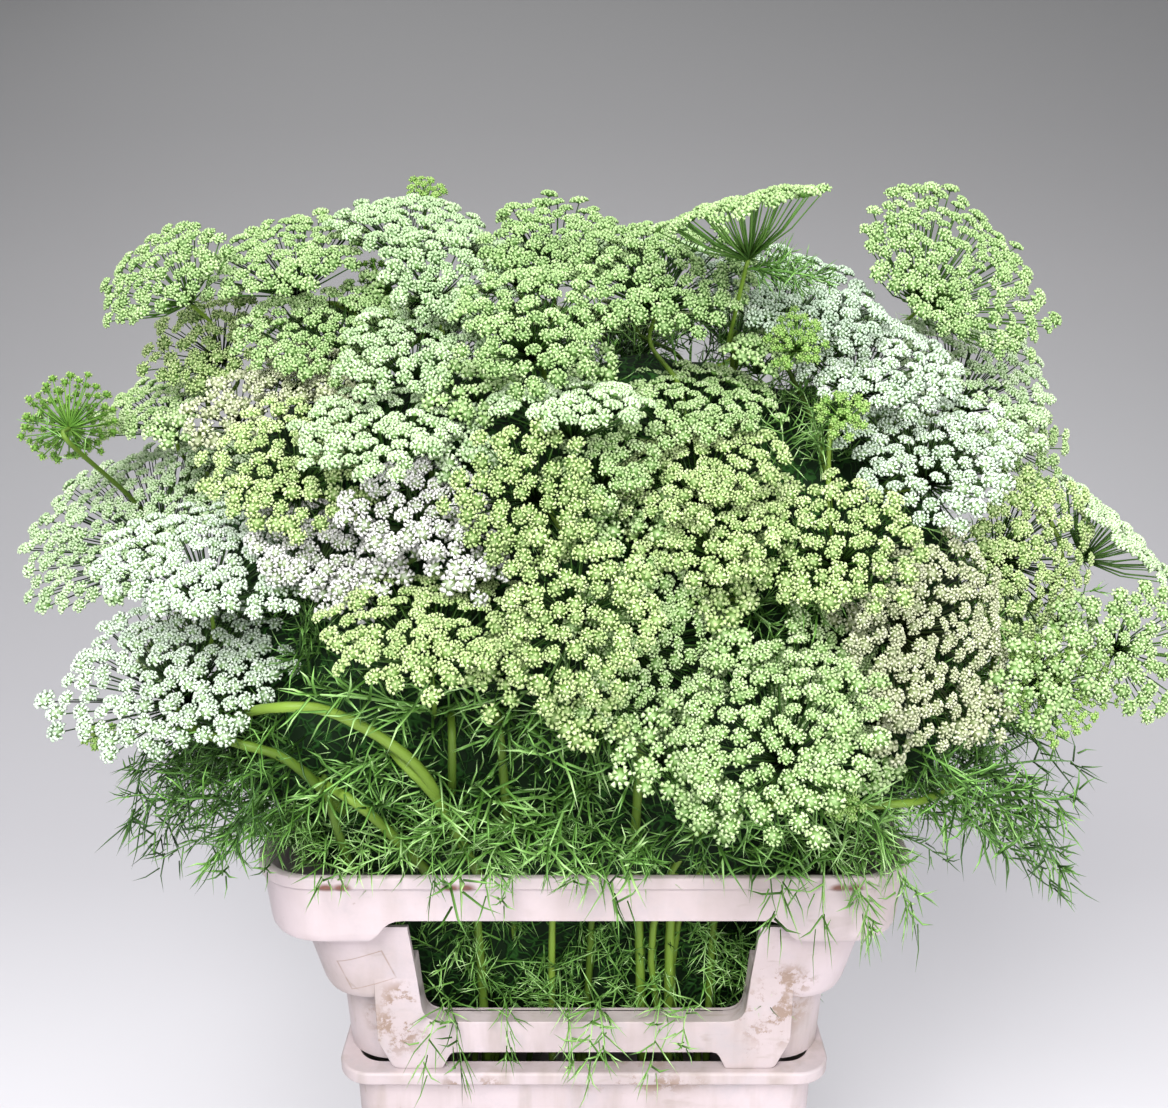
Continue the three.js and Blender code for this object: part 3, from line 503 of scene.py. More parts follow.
def new_material(name: str) -> tuple[bpy.types.Material, Graph]:
    """Makes an empty node material and its graph."""
    material = bpy.data.materials.new(name)
    material.use_nodes = True
    return material, Graph(material.node_tree)


TONE_STOPS = (0.1, 0.5, 0.9)
PETAL_SPAN = (0.4, 0.74)


@dataclass(frozen=True)
class PlantFinish:
    """A plant's palette: tones from dark to light for its green parts and for what stands on them."""

    name: str
    green: tuple[Colour, Colour, Colour]
    petal: tuple[Colour, Colour, Colour]
    roughness: float = 0.6
    gloss: float = 0.3

    def material(self) -> bpy.types.Material:
        """Builds the material, which reads its tone and height from the palette map."""
        material, graph = new_material(self.name)
        tone, height, _ = graph.parts(graph.value("UVMap", {}, uv_map=PALETTE))
        green, petal = (graph.ramp(tone, list(zip(TONE_STOPS, row))) for row in (self.green, self.petal))
        colour = graph.mix(graph.span(height, *PETAL_SPAN), green, petal)
        graph.surface(colour, self.roughness, self.gloss)
        return material


class Bloom(Enum):
    """The umbels' finishes, from the whitest to the youngest."""

    SNOW = PlantFinish(
        "bloom_snow", (srgb(28, 52, 16), srgb(68, 102, 46), srgb(112, 144, 84)),
        (srgb(178, 197, 174), srgb(205, 219, 200), srgb(232, 241, 229)))
    PEARL = PlantFinish(
        "bloom_pearl", (srgb(26, 52, 14), srgb(66, 106, 38), srgb(104, 142, 70)),
        (srgb(166, 192, 146), srgb(193, 214, 172), srgb(220, 233, 202)))
    MIST = PlantFinish(
        "bloom_mist", (srgb(24, 50, 12), srgb(64, 104, 34), srgb(98, 138, 60)),
        (srgb(154, 184, 120), srgb(182, 205, 148), srgb(208, 225, 180)))
    CREAM = PlantFinish(
        "bloom_cream", (srgb(26, 50, 12), srgb(66, 102, 34), srgb(100, 136, 56)),
        (srgb(160, 184, 118), srgb(188, 206, 144), srgb(214, 226, 176)))
    SHELL = PlantFinish(
        "bloom_shell", (srgb(38, 50, 20), srgb(78, 96, 48), srgb(114, 130, 78)),
        (srgb(168, 176, 138), srgb(196, 200, 166), srgb(220, 222, 196)))
    ROSE = PlantFinish(
        "bloom_rose", (srgb(38, 58, 24), srgb(80, 106, 54), srgb(124, 148, 92)),
        (srgb(196, 198, 190), srgb(220, 219, 216), srgb(240, 238, 238)))
    LIME = PlantFinish(
        "bloom_lime", (srgb(50, 90, 20), srgb(84, 130, 42), srgb(112, 156, 60)),
        (srgb(130, 164, 82), srgb(158, 187, 110), srgb(188, 210, 144)))


LEAF = PlantFinish(
    "thread_leaves", (srgb(38, 70, 20), srgb(98, 148, 60), srgb(148, 194, 106)),
    (srgb(54, 94, 34), srgb(128, 180, 88), srgb(194, 226, 160)), 0.42, 0.45)
STALK = PlantFinish(
    "stalks", (srgb(66, 90, 26), srgb(92, 120, 38), srgb(120, 148, 54)),
    (srgb(74, 102, 30), srgb(104, 134, 44), srgb(132, 162, 60)), 0.5, 0.3)


def shaded_inner_material() -> bpy.types.Material:
    """Makes tangled threads with painted deep shade: near black between them, darker to the front and with a
    painted lit colour towards the back.
    """
    material, graph = new_material("inner_leaves_in_painted_shade")
    place = graph.place()
    bend = graph.node("TexNoise", {"Vector": place, "Scale": 24.0, "Detail": 3.0}).outputs["Color"]
    moved = graph.vector("ADD", place, graph.vector("MULTIPLY", bend, (0.05, 0.05, 0.05)))
    edges = graph.value("TexVoronoi", {"Vector": moved, "Scale": 95.0}, feature="DISTANCE_TO_EDGE")
    lines = graph.span(edges, 0.11, 0.03)
    patches = graph.noise(place, 16.0, 3.0)
    # painted shade and painted light: a shaded and a lit colour for the threads, mixed along Y
    shaded = graph.ramp(patches, [(0.35, srgb(22, 52, 18)), (0.65, srgb(46, 90, 34))])
    painted_lit_side = graph.ramp(patches, [(0.35, srgb(44, 92, 34)), (0.65, srgb(92, 146, 66))])
    threads = graph.mix(graph.span(graph.parts(place)[1], 0.03, 0.11), shaded, painted_lit_side)
    # painted shade: near black between the threads
    colour = graph.mix(lines, srgb(14, 32, 12), threads)
    graph.surface(colour, 0.7, 0.15, graph.bump(lines, 0.6, 0.003))
    return material


SLOT_BLOOMS = {
    "bloom_white": Bloom.PEARL, "bloom_green_white": Bloom.MIST,
    "bloom_yellow_green": Bloom.CREAM, "bloom_blush": Bloom.SHELL}
SEEN_BLOOMS = {
    **dict.fromkeys((5, 6, 35, 36, 38), Bloom.SNOW), **dict.fromkeys((15, 16), Bloom.ROSE),
    **dict.fromkeys((12, 13), Bloom.PEARL), **dict.fromkeys((30, 33), Bloom.MIST)}
BACK_RADIUS = 0.055
PAIR_SPACING = 1.55
FOOT_SHARE = 0.88
SPREAD = 1.17
SPREAD_ALONE = 1.03
HUB_DEPTH = 0.55
DOME_SHARE = 0.045
FEWEST_UMBELLETS = 7
TOP_SHADE = 0.24
TOP_SPAN = (0.85, 0.06)
HEXAGON_SHARE = 0.866
RAYS_IN_VIEW = ("umbel_01", "umbel_33", "umbel_34", "umbel_39", "umbel_41", "umbel_42")
SEEN_FACINGS = {"umbel_34": (-0.24, -0.03, 0.97), "umbel_41": (0.62, -0.2, 0.76)}


@dataclass
class Umbel:
    """One umbel: the middle of its underside, the way it faces, its radius and its finish."""

    name: str
    centre: np.ndarray
    normal: np.ndarray
    radius: float
    bloom: Bloom
    young: bool = False
    filler: bool = False

    @property
    def hub(self) -> np.ndarray:
        """Where its rays spring from the stem."""
        return self.centre - HUB_DEPTH * self.radius * self.normal

    @property
    def turn(self) -> float:
        """Its place round the dome from the front, in radians."""
        return math.atan2(self.centre[0], -self.centre[1])


def underside(node: bpy.types.Object) -> tuple[np.ndarray, np.ndarray]:
    """Finds an umbel node's flat underside.

    Args:
        node: The CAD node.

    Returns:
        The corners of its largest flat face, and the way that the umbel faces.
    """
    mesh = node.data
    mesh.calc_loop_triangles()
    points = np.array([v.co[:] for v in mesh.vertices])
    corners = points[np.array([t.vertices[:] for t in mesh.loop_triangles])]
    across = np.cross(corners[:, 1] - corners[:, 0], corners[:, 2] - corners[:, 0])
    largest = np.argmax(np.linalg.norm(across, axis=1))
    normals = unit(across)
    level = normals @ normals[largest] > 0.9998
    depth = np.abs((corners.mean(axis=1) - corners[largest, 0]) @ normals[largest]) < 2e-4
    return corners[level & depth].reshape(-1, 3), -normals[largest]


def framed_umbels() -> list[Umbel]:
    """Reads every umbel from its node: one for each front node, two for each pair at the back."""
    made = []
    for name, node in sorted(frame["nodes"].items()):
        if not name.startswith("umbel_"):
            continue
        corners, normal = underside(node)
        bloom = SLOT_BLOOMS[SLOTS[name]]
        if "pair" in name:
            along = unit(np.cross(UP, normal))
            up = np.cross(normal, along)
            middle = sum(
                axis * (np.max(corners @ axis) + np.min(corners @ axis)) / 2 for axis in (along, up))
            middle = middle + normal * np.mean(corners @ normal)
            for side in (-1, 1):
                centre = middle + side * PAIR_SPACING * BACK_RADIUS / 2 * along
                made.append(Umbel(name, centre, normal, BACK_RADIUS, bloom))
            continue
        rim = np.unique(corners.round(6), axis=0)
        centre = rim.mean(axis=0)
        radius = np.linalg.norm(rim - centre, axis=1).max() / FOOT_SHARE
        normal = unit(np.array(SEEN_FACINGS.get(name, normal)))
        bloom = SEEN_BLOOMS.get(int(name[-2:]), bloom)
        made.append(Umbel(name, centre, normal, radius, bloom))
    return made


def young(name: str, x: float, y: float, z: float, radius: float, turn: float, rise: float) -> Umbel:
    """Makes one young green umbel.

    Args:
        name: Its name.
        x: Place to the right, in millimetres, as the next two.
        y: Place to the back.
        z: Height.
        radius: Radius in millimetres.
        turn: The way it faces, in degrees from the front.
        rise: Its facing above the horizon.

    Returns:
        The umbel.
    """
    centre = np.array([x, y, z]) / 1000
    return Umbel(name, centre, heading(turn, rise), radius / 1000, Bloom.LIME, young=True)


YOUNG_UMBELS = (
    young("young_left", -372, -56, 836, 36, -160, 10),
    young("young_right", 319, -170, 675, 40, 10, 20),
    young("young_upper_right", 138, -133, 899, 23, -10, 35),
    young("young_right_of_middle", 166, -160, 854, 19, -10, 25),
    young("young_upper_left", -148, -15, 934, 20, -170, 40),
    young("young_crown", -124, 59, 998, 18, 0, 55),
    young("young_low_right", 163, -237, 620, 14, -10, 25),
    young("young_low_left", -366, -77, 600, 14, 20, 20),
)


@dataclass(frozen=True)
class PhotoView:
    """The photo's camera, in metres, degrees and the photo's pixels."""

    place: tuple[float, float, float] = (0.0, -0.955, 0.968)
    pitch: float = 75.5
    focal: float = 1250.0
    width: float = 1168.0
    height: float = 1108.0

    def axes(self) -> tuple[np.ndarray, np.ndarray, np.ndarray]:
        """Gives the camera's right, up and forward directions."""
        down = math.radians(90 - self.pitch)
        return (np.array([1.0, 0.0, 0.0]), np.array([0.0, math.sin(down), math.cos(down)]),
                np.array([0.0, math.cos(down), -math.sin(down)]))

    def pixels(self, points: np.ndarray) -> np.ndarray:
        """Projects points to the photo's pixels."""
        right, up, forward = self.axes()
        away = points - np.array(self.place)
        depth = away @ forward
        return np.stack([
            self.width / 2 + self.focal * (away @ right) / depth,
            self.height / 2 - self.focal * (away @ up) / depth], axis=-1)

    def ray(self, x: float, y: float) -> np.ndarray:
        """Gives the direction through a pixel."""
        right, up, forward = self.axes()
        across, above = (x - self.width / 2) / self.focal, (self.height / 2 - y) / self.focal
        return unit(forward + across * right + above * up)

    def point(self, x: float, y: float, depth: float) -> np.ndarray:
        """Gives the point behind a pixel at a place in Y."""
        ray = self.ray(x, y)
        return np.array(self.place) + ray * (depth - self.place[1]) / ray[1]


VIEW = PhotoView()
CARPET_EDGE = (
    (75, 700), (80, 610), (22, 590), (22, 500), (100, 430), (150, 390), (155, 335), (120, 330), (140, 285),
    (200, 240), (245, 225), (330, 228), (360, 200), (440, 190), (480, 215), (540, 205), (640, 220),
    (730, 255), (860, 290), (900, 310), (1000, 360), (1050, 420), (1070, 480), (1075, 560), (1085, 640),
    (1085, 720), (1010, 725), (900, 740), (870, 795), (690, 822), (640, 770), (600, 740), (540, 700),
    (440, 672), (350, 670), (330, 600), (280, 590), (270, 650), (200, 720), (130, 745))
LEAFY_GAPS = (
    (600, 318, 745, 402), (755, 380, 862, 482), (598, 505, 642, 562), (738, 562, 802, 650),
    (900, 500, 985, 548), (268, 588, 332, 682))


def inside(outline: np.ndarray, x: np.ndarray, y: np.ndarray) -> np.ndarray:
    """Tells which points lie inside an outline.

    Args:
        outline: Its corners, in order.
        x: The points' first coordinates.
        y: Their second ones.

    Returns:
        A mask of the points' shape.
    """
    found = np.zeros(x.shape, bool)
    for (x0, y0), (x1, y1) in zip(outline, np.roll(outline, -1, axis=0)):
        if y0 != y1:
            found ^= ((y0 > y) != (y1 > y)) & (x < (x1 - x0) * (y - y0) / (y1 - y0) + x0)
    return found


@dataclass
class Dome:
    """The surface that the umbels share, and what fills it between and under them."""

    umbels: list[Umbel]
    middle: tuple[float, float, float] = (0.0, 0.0, 0.60)
    reach: float = math.radians(11)
    cell: int = 4
    most: int = 46
    least_gap: float = 9
    skipped: float = 20
    filler_depth: float = 0.017
    filler_radii: tuple[float, float] = (0.020, 0.036)
    core_foot: float = 0.368
    throat: tuple[float, float] = (0.488, 0.04)
    mouth: tuple[float, float] = (0.555, 0.05)
    roughness: tuple[tuple[float, float], ...] = ((9, 0.014), (31, 0.006))

    def at(self, ways: np.ndarray) -> tuple[np.ndarray, np.ndarray]:
        """Gives the surface's distance from its middle, and the umbels' weights, along directions.

        Args:
            ways: Directions of length 1, one row each.

        Returns:
            The distances, and one row of weights a direction.
        """
        away = np.array([u.centre for u in self.umbels]) - np.array(self.middle)
        angle = np.arccos(np.clip(ways @ unit(away).T, -1, 1))
        weight = np.exp(-((angle / self.reach) ** 2)) + 1e-9
        weight /= weight.sum(axis=1, keepdims=True)
        return weight @ np.linalg.norm(away, axis=1), weight

    def seen_at(self, x: float, y: float, depth: float) -> tuple[np.ndarray, np.ndarray, Umbel] | None:
        """Finds where a pixel's ray reaches a depth below the surface.

        Args:
            x: The pixel, as the next.
            y: From the top.
            depth: How deep below the umbels' surface.

        Returns:
            The point, the way that the surface faces there and the nearest umbel, or None.
        """
        ray = VIEW.ray(x, y)
        points = np.array(VIEW.place) + np.arange(0.5, 1.45, 0.005)[:, None] * ray
        away = points - np.array(self.middle)
        far = np.linalg.norm(away, axis=1)
        surface, weight = self.at(unit(away))
        under = np.nonzero((far < surface - depth) & (away[:, 2] > -0.02))[0]
        if not len(under):
            return None
        first = under[0]
        normal = unit(weight[first] @ np.array([u.normal for u in self.umbels]))
        return points[first], normal, self.umbels[int(np.argmax(weight[first]))]

    def bare_cells(self) -> tuple[np.ndarray, np.ndarray, np.ndarray]:
        """Marks the photo's cells that should show umbels and don't.

        Returns:
            The mask, and the cells' pixel coordinates.
        """
        x, y = np.meshgrid(
            np.arange(self.cell / 2, VIEW.width, self.cell), np.arange(self.cell / 2, VIEW.height, self.cell))
        bare = inside(np.array(CARPET_EDGE, float), x, y)
        for x0, y0, x1, y1 in LEAFY_GAPS:
            bare &= ~((x > x0) & (x < x1) & (y > y0) & (y < y1))
        for umbel in self.umbels:
            if umbel.normal[1] < 0.75:
                bare &= ~inside(self.rim_pixels(umbel, 0.94), x, y)
        return bare, x, y

    def rim_pixels(self, umbel: Umbel, share: float) -> np.ndarray:
        """Projects an umbel's rim."""
        across, up, _ = frames_along(umbel.normal[None], np.zeros(1))[0].T
        turn = np.linspace(0, 2 * math.pi, 20, endpoint=False)[:, None]
        rim = umbel.centre + share * umbel.radius * (across * np.cos(turn) + up * np.sin(turn))
        return VIEW.pixels(rim)

    def front_fillers(self) -> list[Umbel]:
        """Sets small umbels a little lower wherever the photo shows umbels and none covers the spot."""
        rng = Seed.FILLERS.rng()
        bare, x, y = self.bare_cells()
        made = []
        while len(made) < self.most:
            depth, worn = np.zeros(bare.shape), bare.copy()
            while worn.any():
                depth += worn
                beside = [np.roll(worn, way, axis) for way in (1, -1) for axis in (0, 1)]
                worn = np.logical_and.reduce([worn, *beside])
            deepest = np.unravel_index(np.argmax(depth), depth.shape)
            if depth[deepest] * self.cell < self.least_gap:
                break
            found = self.seen_at(x[deepest], y[deepest], self.filler_depth)
            radius = float(np.clip(depth[deepest] * self.cell * 0.0008 + 0.012, *self.filler_radii))
            if found is None:
                bare &= (x - x[deepest]) ** 2 + (y - y[deepest]) ** 2 > self.skipped**2
                continue
            point, normal, kin = found
            normal = unit(normal + rng.normal(0, 0.1, 3) + np.array([0.0, -0.25, 0.1]))
            filler = Umbel(f"filler_{len(made)}", point, normal, radius, kin.bloom, filler=True)
            made.append(filler)
            bare &= ~inside(self.rim_pixels(filler, 1.05), x, y)
        return made

    def core(self) -> bpy.types.Object:
        """Builds the inner mass of leaves as one dark body, its colour painted deep shade, well below the
        umbels and inside the collar.
        """
        bm = bmesh.new()
        bmesh.ops.create_icosphere(bm, subdivisions=5, radius=1)
        ways = np.array([v.co[:] for v in bm.verts])
        surface, _ = self.at(ways)
        front = climb(ways[:, 1], 0.15, -0.3)
        over = (0.80 + 0.055 * front) * surface - 0.030 + 0.006 * front
        reach = np.arange(0.03, 0.36, 0.004)
        spots = np.array(self.middle) + ways[:, None] * reach[None, :, None]
        rise, swell = (climb(spots[:, :, 2], start, width) for start, width in (self.throat, self.mouth))
        wide, deep = 0.165 + 0.031 * rise + 0.05 * swell, 0.088 + 0.048 * rise + 0.02 * swell
        held = (np.abs(spots[:, :, 0]) < wide) & (np.abs(spots[:, :, 1]) < deep)
        under = reach[np.argmin(held & (spots[:, :, 2] > self.core_foot), axis=1)]
        share = climb(ways[:, 2], 0.12, 0.38)
        share = share * share * (3 - 2 * share)
        far = under + (over - under) * share
        for vert, way, out in zip(bm.verts, ways, far):
            rough = sum(noise.noise(Vector(way * often)) * high for often, high in self.roughness)
            vert.co = Vector(np.array(self.middle) + way * (out + rough * (0.4 + 0.6 * float(way[2] > 0.1))))
        mesh = mesh_of(bm, "inner_leaves_in_painted_shade")
        mesh.shade_smooth()
        # the inner body's dark colour is painted shade
        mesh.materials.append(shaded_inner_material())
        piece = rooted(mesh)
        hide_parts(*BUNCH_TIES)
        return piece


@dataclass
class UmbelBuilder:
    """Builds an umbel's rays, umbellets and florets."""

    spacing: float = 0.0131
    back_spacing: float = 0.0136
    young_spacing: float = 0.0076
    ray_radius: float = 0.00062
    florets: int = 25
    back_florets: int = 13
    fall: float = math.radians(84)
    bracts: int = 9
    variants: int = 6
    templates: dict = field(default_factory=dict)

    def umbellet(self, rng: np.random.Generator, florets: int, open_flowers: bool) -> Template:
        """Makes one umbellet of radius 1: florets that burst from a green heart, pale at their ends.

        Args:
            rng: The source of its small differences.
            florets: How many florets it has.
            open_flowers: Whether they are open flowers and not round buds.

        Returns:
            The umbellet, its stalk's end at the origin and its florets on a dome of height 0.76.
        """
        cloud = Cloud()
        heart = cushion_template(6 if florets > 18 else 5)
        tone = np.array([0.85 + rng.uniform(-0.05, 0.05)])
        cloud.stamp(heart, np.zeros((1, 3)), np.eye(3)[None], tone, HEART_PART)
        number = np.arange(florets)
        tilt = self.fall * np.sqrt((number + 0.5) / florets) * rng.uniform(0.94, 1.05, florets)
        angle = number * GOLDEN_TURN + rng.normal(0, 0.12, florets)
        out, up = np.sin(tilt), np.cos(tilt)
        grow = rng.uniform(0.93, 1.06, florets)
        places = np.stack([
            0.98 * grow * out * np.cos(angle), 0.98 * grow * out * np.sin(angle),
            0.24 + 0.52 * grow * up], axis=1)
        axes = unit(np.stack([np.cos(angle) * out, np.sin(angle) * out, up + 0.15], axis=1))
        radial = unit(np.stack([np.cos(angle) * up, np.sin(angle) * up, -out], axis=1) + 1e-6)
        side = unit(np.cross(axes, radial))
        radial = np.cross(side, axes)
        size = (0.192 if open_flowers else 0.172) * rng.uniform(0.86, 1.14, florets) * (26 / florets) ** 0.5
        turned = np.stack([
            radial * size[:, None], side * (size * 0.92)[:, None], axes * (size * 1.1)[:, None]], axis=2)
        # painted shade: florets out towards an umbellet's rim get darker tones than those on its top
        tones = 0.5 + np.clip(rng.normal(0, 0.16, florets), -0.4, 0.4) + 0.12 * (0.5 - out)
        cloud.stamp(floret_template(), places, turned, tones, PETAL_PART)
        return cloud.template()

    def umbellets(self, florets: int, open_flowers: bool) -> list[Template]:
        """Returns the variants of one kind of umbellet, made once."""
        key = (florets, open_flowers)
        if key not in self.templates:
            rng = Seed.UMBELLETS.rng(florets)
            self.templates[key] = [
                self.umbellet(rng, florets, open_flowers) for _ in range(self.variants)]
        return self.templates[key]

    def build(self, umbel: Umbel, number: int) -> Cloud:
        """Builds one umbel.

        Args:
            umbel: Its place, facing and size.
            number: Its number, from which its small differences follow.

        Returns:
            The mesh of its rays and umbellets.
        """
        rng = Seed.UMBELS.rng(number)
        behind = "pair" in umbel.name
        spacing = self.young_spacing if umbel.young else self.back_spacing if behind else self.spacing
        radius = umbel.radius
        if not umbel.young and not umbel.filler:
            radius *= SPREAD_ALONE if umbel.name in RAYS_IN_VIEW else SPREAD
        count = max(FEWEST_UMBELLETS, round(math.pi * radius**2 / (HEXAGON_SHARE * spacing**2)))
        order = np.arange(count)
        share = np.sqrt((order + 0.5) / count)
        angle = order * GOLDEN_TURN + rng.uniform(0, 2 * math.pi)
        outline = np.ones(count)
        for waves, height in ((2, 0.08), (3, 0.07), (7, 0.05)):
            outline = outline + height * np.cos(waves * angle + rng.uniform(0, 6))
        reach = (radius - 0.4 * spacing) * outline * share
        matrix = frames_along(umbel.normal[None], np.zeros(1))[0]
        local = np.stack([reach * np.cos(angle), reach * np.sin(angle), np.zeros(count)], axis=1)
        local[:, :2] += rng.normal(0, 0.13 * spacing, (count, 2))
        dome = DOME_SHARE * umbel.radius * (1 - share**2) - 0.0025 * share**4
        local[:, 2] = 0.0006 + dome + rng.uniform(-0.0006, 0.0034, count)
        ends = umbel.centre + local @ matrix.T
        radial = np.stack([np.cos(angle), np.sin(angle), np.zeros(count)], axis=1)
        tilt = radial * (0.08 + 0.32 * share**2)[:, None] + rng.normal(0, 0.17, (count, 3))
        axes = unit((tilt + UP) @ matrix.T)
        grown = (0.43 if umbel.young else 0.465) * spacing
        size = grown * (0.86 + 0.16 * share) * rng.uniform(0.86, 1.13, count)
        turned = frames_along(axes, rng.uniform(0, 2 * math.pi, count)) * size[:, None, None]
        cloud = Cloud()
        plain = umbel.filler or umbel.young or behind
        open_flowers = umbel.bloom in (Bloom.SNOW, Bloom.ROSE, Bloom.PEARL)
        kinds = self.umbellets(self.back_florets if plain else self.florets, open_flowers)
        tones = 0.5 + rng.uniform(-0.07, 0.07) + np.clip(rng.normal(0, 0.10, count), -0.25, 0.25)
        tones -= TOP_SHADE * climb(umbel.centre[2], *TOP_SPAN)
        for variant, template in enumerate(kinds):
            own = order % self.variants == variant
            cloud.stamp(template, ends[own], turned[own], tones[own])
        self.rays(cloud, umbel, ends, share, rng)
        return cloud

    def rays(self, cloud: Cloud, umbel: Umbel, ends: np.ndarray, share: np.ndarray,
             rng: np.random.Generator) -> None:
        """Adds the rays from the hub to the umbellets, and the thread-like bracts under the hub.

        Args:
            cloud: The umbel's mesh.
            umbel: The umbel.
            ends: The umbellets' places.
            share: How far out each is, 0 to 1.
            rng: The source of small differences.
        """
        count = len(ends)
        hub = umbel.hub
        start = hub + (ends - umbel.centre) * 0.02
        middle = (start + ends) / 2 - umbel.normal * (0.05 * umbel.radius * share**2)[:, None]
        middle = middle + (ends - umbel.centre) * (0.06 * share)[:, None]
        if umbel.name not in RAYS_IN_VIEW and not umbel.young:
            paths, taper = np.stack([start, ends], axis=1), np.array([1.25, 0.8])
        else:
            paths, taper = np.stack([start, middle, ends], axis=1), np.array([1.25, 1.0, 0.8])
        radii = np.tile(taper * self.ray_radius, (count, 1))
        # painted shade: rays hidden under their umbels keep dark tones, so the gaps between umbellets read
        # dark; the rays that show are 0.45 lighter
        tones = rng.uniform(0.05, 0.45, count) + (0.45 if len(taper) > 2 else 0)
        cloud.sweep(tube_template(3, len(taper)), paths, radii, tones, GREEN_PART)
        bracts = self.bracts
        angle = rng.uniform(0, 2 * math.pi, bracts)
        matrix = frames_along(umbel.normal[None], np.zeros(1))[0]
        out = np.stack([np.cos(angle), np.sin(angle), rng.uniform(-0.5, 0.5, bracts)], axis=1) @ matrix.T
        length = rng.uniform(0.012, 0.02, bracts)
        turned = frames_along(out, angle) * np.array([0.0006, 0.0006, 1.0])
        turned[:, :, 2] *= length[:, None]
        cloud.stamp(spike_template(), np.tile(hub, (bracts, 1)), turned, np.full(bracts, 0.35), GREEN_PART)


@dataclass(frozen=True)
class Gate:
    """A level that all the stems pass, drawn in towards the bucket's axis."""

    z: float
    half_width: float
    half_depth: float
    draw: float
    draw_deep: float


THROAT = Gate(0.430, 0.150, 0.111, 0.42, 0.56)
MOUTH = Gate(0.552, 0.202, 0.140, 0.68, 0.68)
SHOULDER = Gate(0.612, 0.250, 0.185, 0.84, 0.84)
ROW_PLANE_Y = 0.015
BUNCH_TIES = {
    "bunch_front_left": (-0.096, -0.050), "bunch_front_middle": (0.0, -0.050),
    "bunch_front_right": (0.096, -0.050), "bunch_back_left": (-0.062, 0.050),
    "bunch_back_right": (0.062, 0.050)}
FOOT_Z, TIE_Z = 0.0046, 0.172
FOOT_SPREAD, TIE_SPREAD = 0.021, 0.0124
SHOWN_STALKS = (
    (0.0038, ((480, 876, -0.140), (439, 803, -0.172), (402, 762, -0.190), (372, 728, -0.15))),
    (0.0038, ((431, 876, -0.140), (385, 828, -0.168), (348, 798, -0.190), (300, 772, -0.14))),
    (0.0040, (
        (452, 822, -0.15), (412, 761, -0.196), (333, 713, -0.212), (271, 708, -0.212), (236, 716, -0.15))),
    (0.0032, ((354, 876, -0.140), (333, 816, -0.170), (322, 765, -0.15))),
    (0.0036, (
        (345, 812, -0.14), (289, 761, -0.190), (236, 743, -0.200), (192, 728, -0.18), (165, 690, -0.14))),
    (0.0032, ((508, 832, -0.14), (500, 735, -0.188), (492, 690, -0.15))),
    (0.0034, ((634, 850, -0.14), (640, 758, -0.188), (644, 715, -0.15))),
    (0.0032, ((830, 812, -0.15), (870, 806, -0.186), (925, 800, -0.178), (960, 780, -0.12))),
    (0.0030, ((452, 800, -0.14), (452, 740, -0.196), (450, 690, -0.15))),
    (0.0037, ((488, 1060, -0.100), (478, 930, -0.107), (470, 860, -0.100))),
    (0.0029, ((552, 1060, -0.100), (552, 930, -0.106), (556, 860, -0.100))),
    (0.0038, ((642, 1060, -0.100), (639, 930, -0.110), (636, 860, -0.100))),
    (0.0040, ((668, 1060, -0.100), (670, 930, -0.111), (676, 860, -0.100))),
    (0.0031, ((706, 1060, -0.100), (713, 930, -0.105), (722, 860, -0.100))))


def bunch_of(point: np.ndarray) -> str:
    """Names the bunch whose room a point lies in."""
    x, y, z = point
    if y > ROW_PLANE_Y:
        return "bunch_back_left" if x < 0 else "bunch_back_right"
    if abs(x) < 0.047 + (z - 0.1) / 18:
        return "bunch_front_middle"
    return "bunch_front_left" if x < 0 else "bunch_front_right"


def smooth_path(points: list[np.ndarray], steps: int) -> np.ndarray:
    """Runs a smooth curve through points.

    Args:
        points: What the curve passes.
        steps: How many points the result has.

    Returns:
        The curve's points, evenly spread over its knots.
    """
    knots = np.array([2 * points[0] - points[1], *points, 2 * points[-1] - points[-2]])
    at = np.linspace(0, len(points) - 1 - 1e-6, steps)
    i = at.astype(int)
    t = (at - i)[:, None]
    a, b, c, d = knots[i], knots[i + 1], knots[i + 2], knots[i + 3]
    return 0.5 * (2 * b + (c - a) * t + (2 * a - 5 * b + 4 * c - d) * t**2 + (3 * b - a - 3 * c + d) * t**3)


@dataclass
class Stem:
    """A stem or side shoot: its bunch, its path and its thickness at both ends."""

    bunch: str
    path: np.ndarray
    thick: float
    thin: float


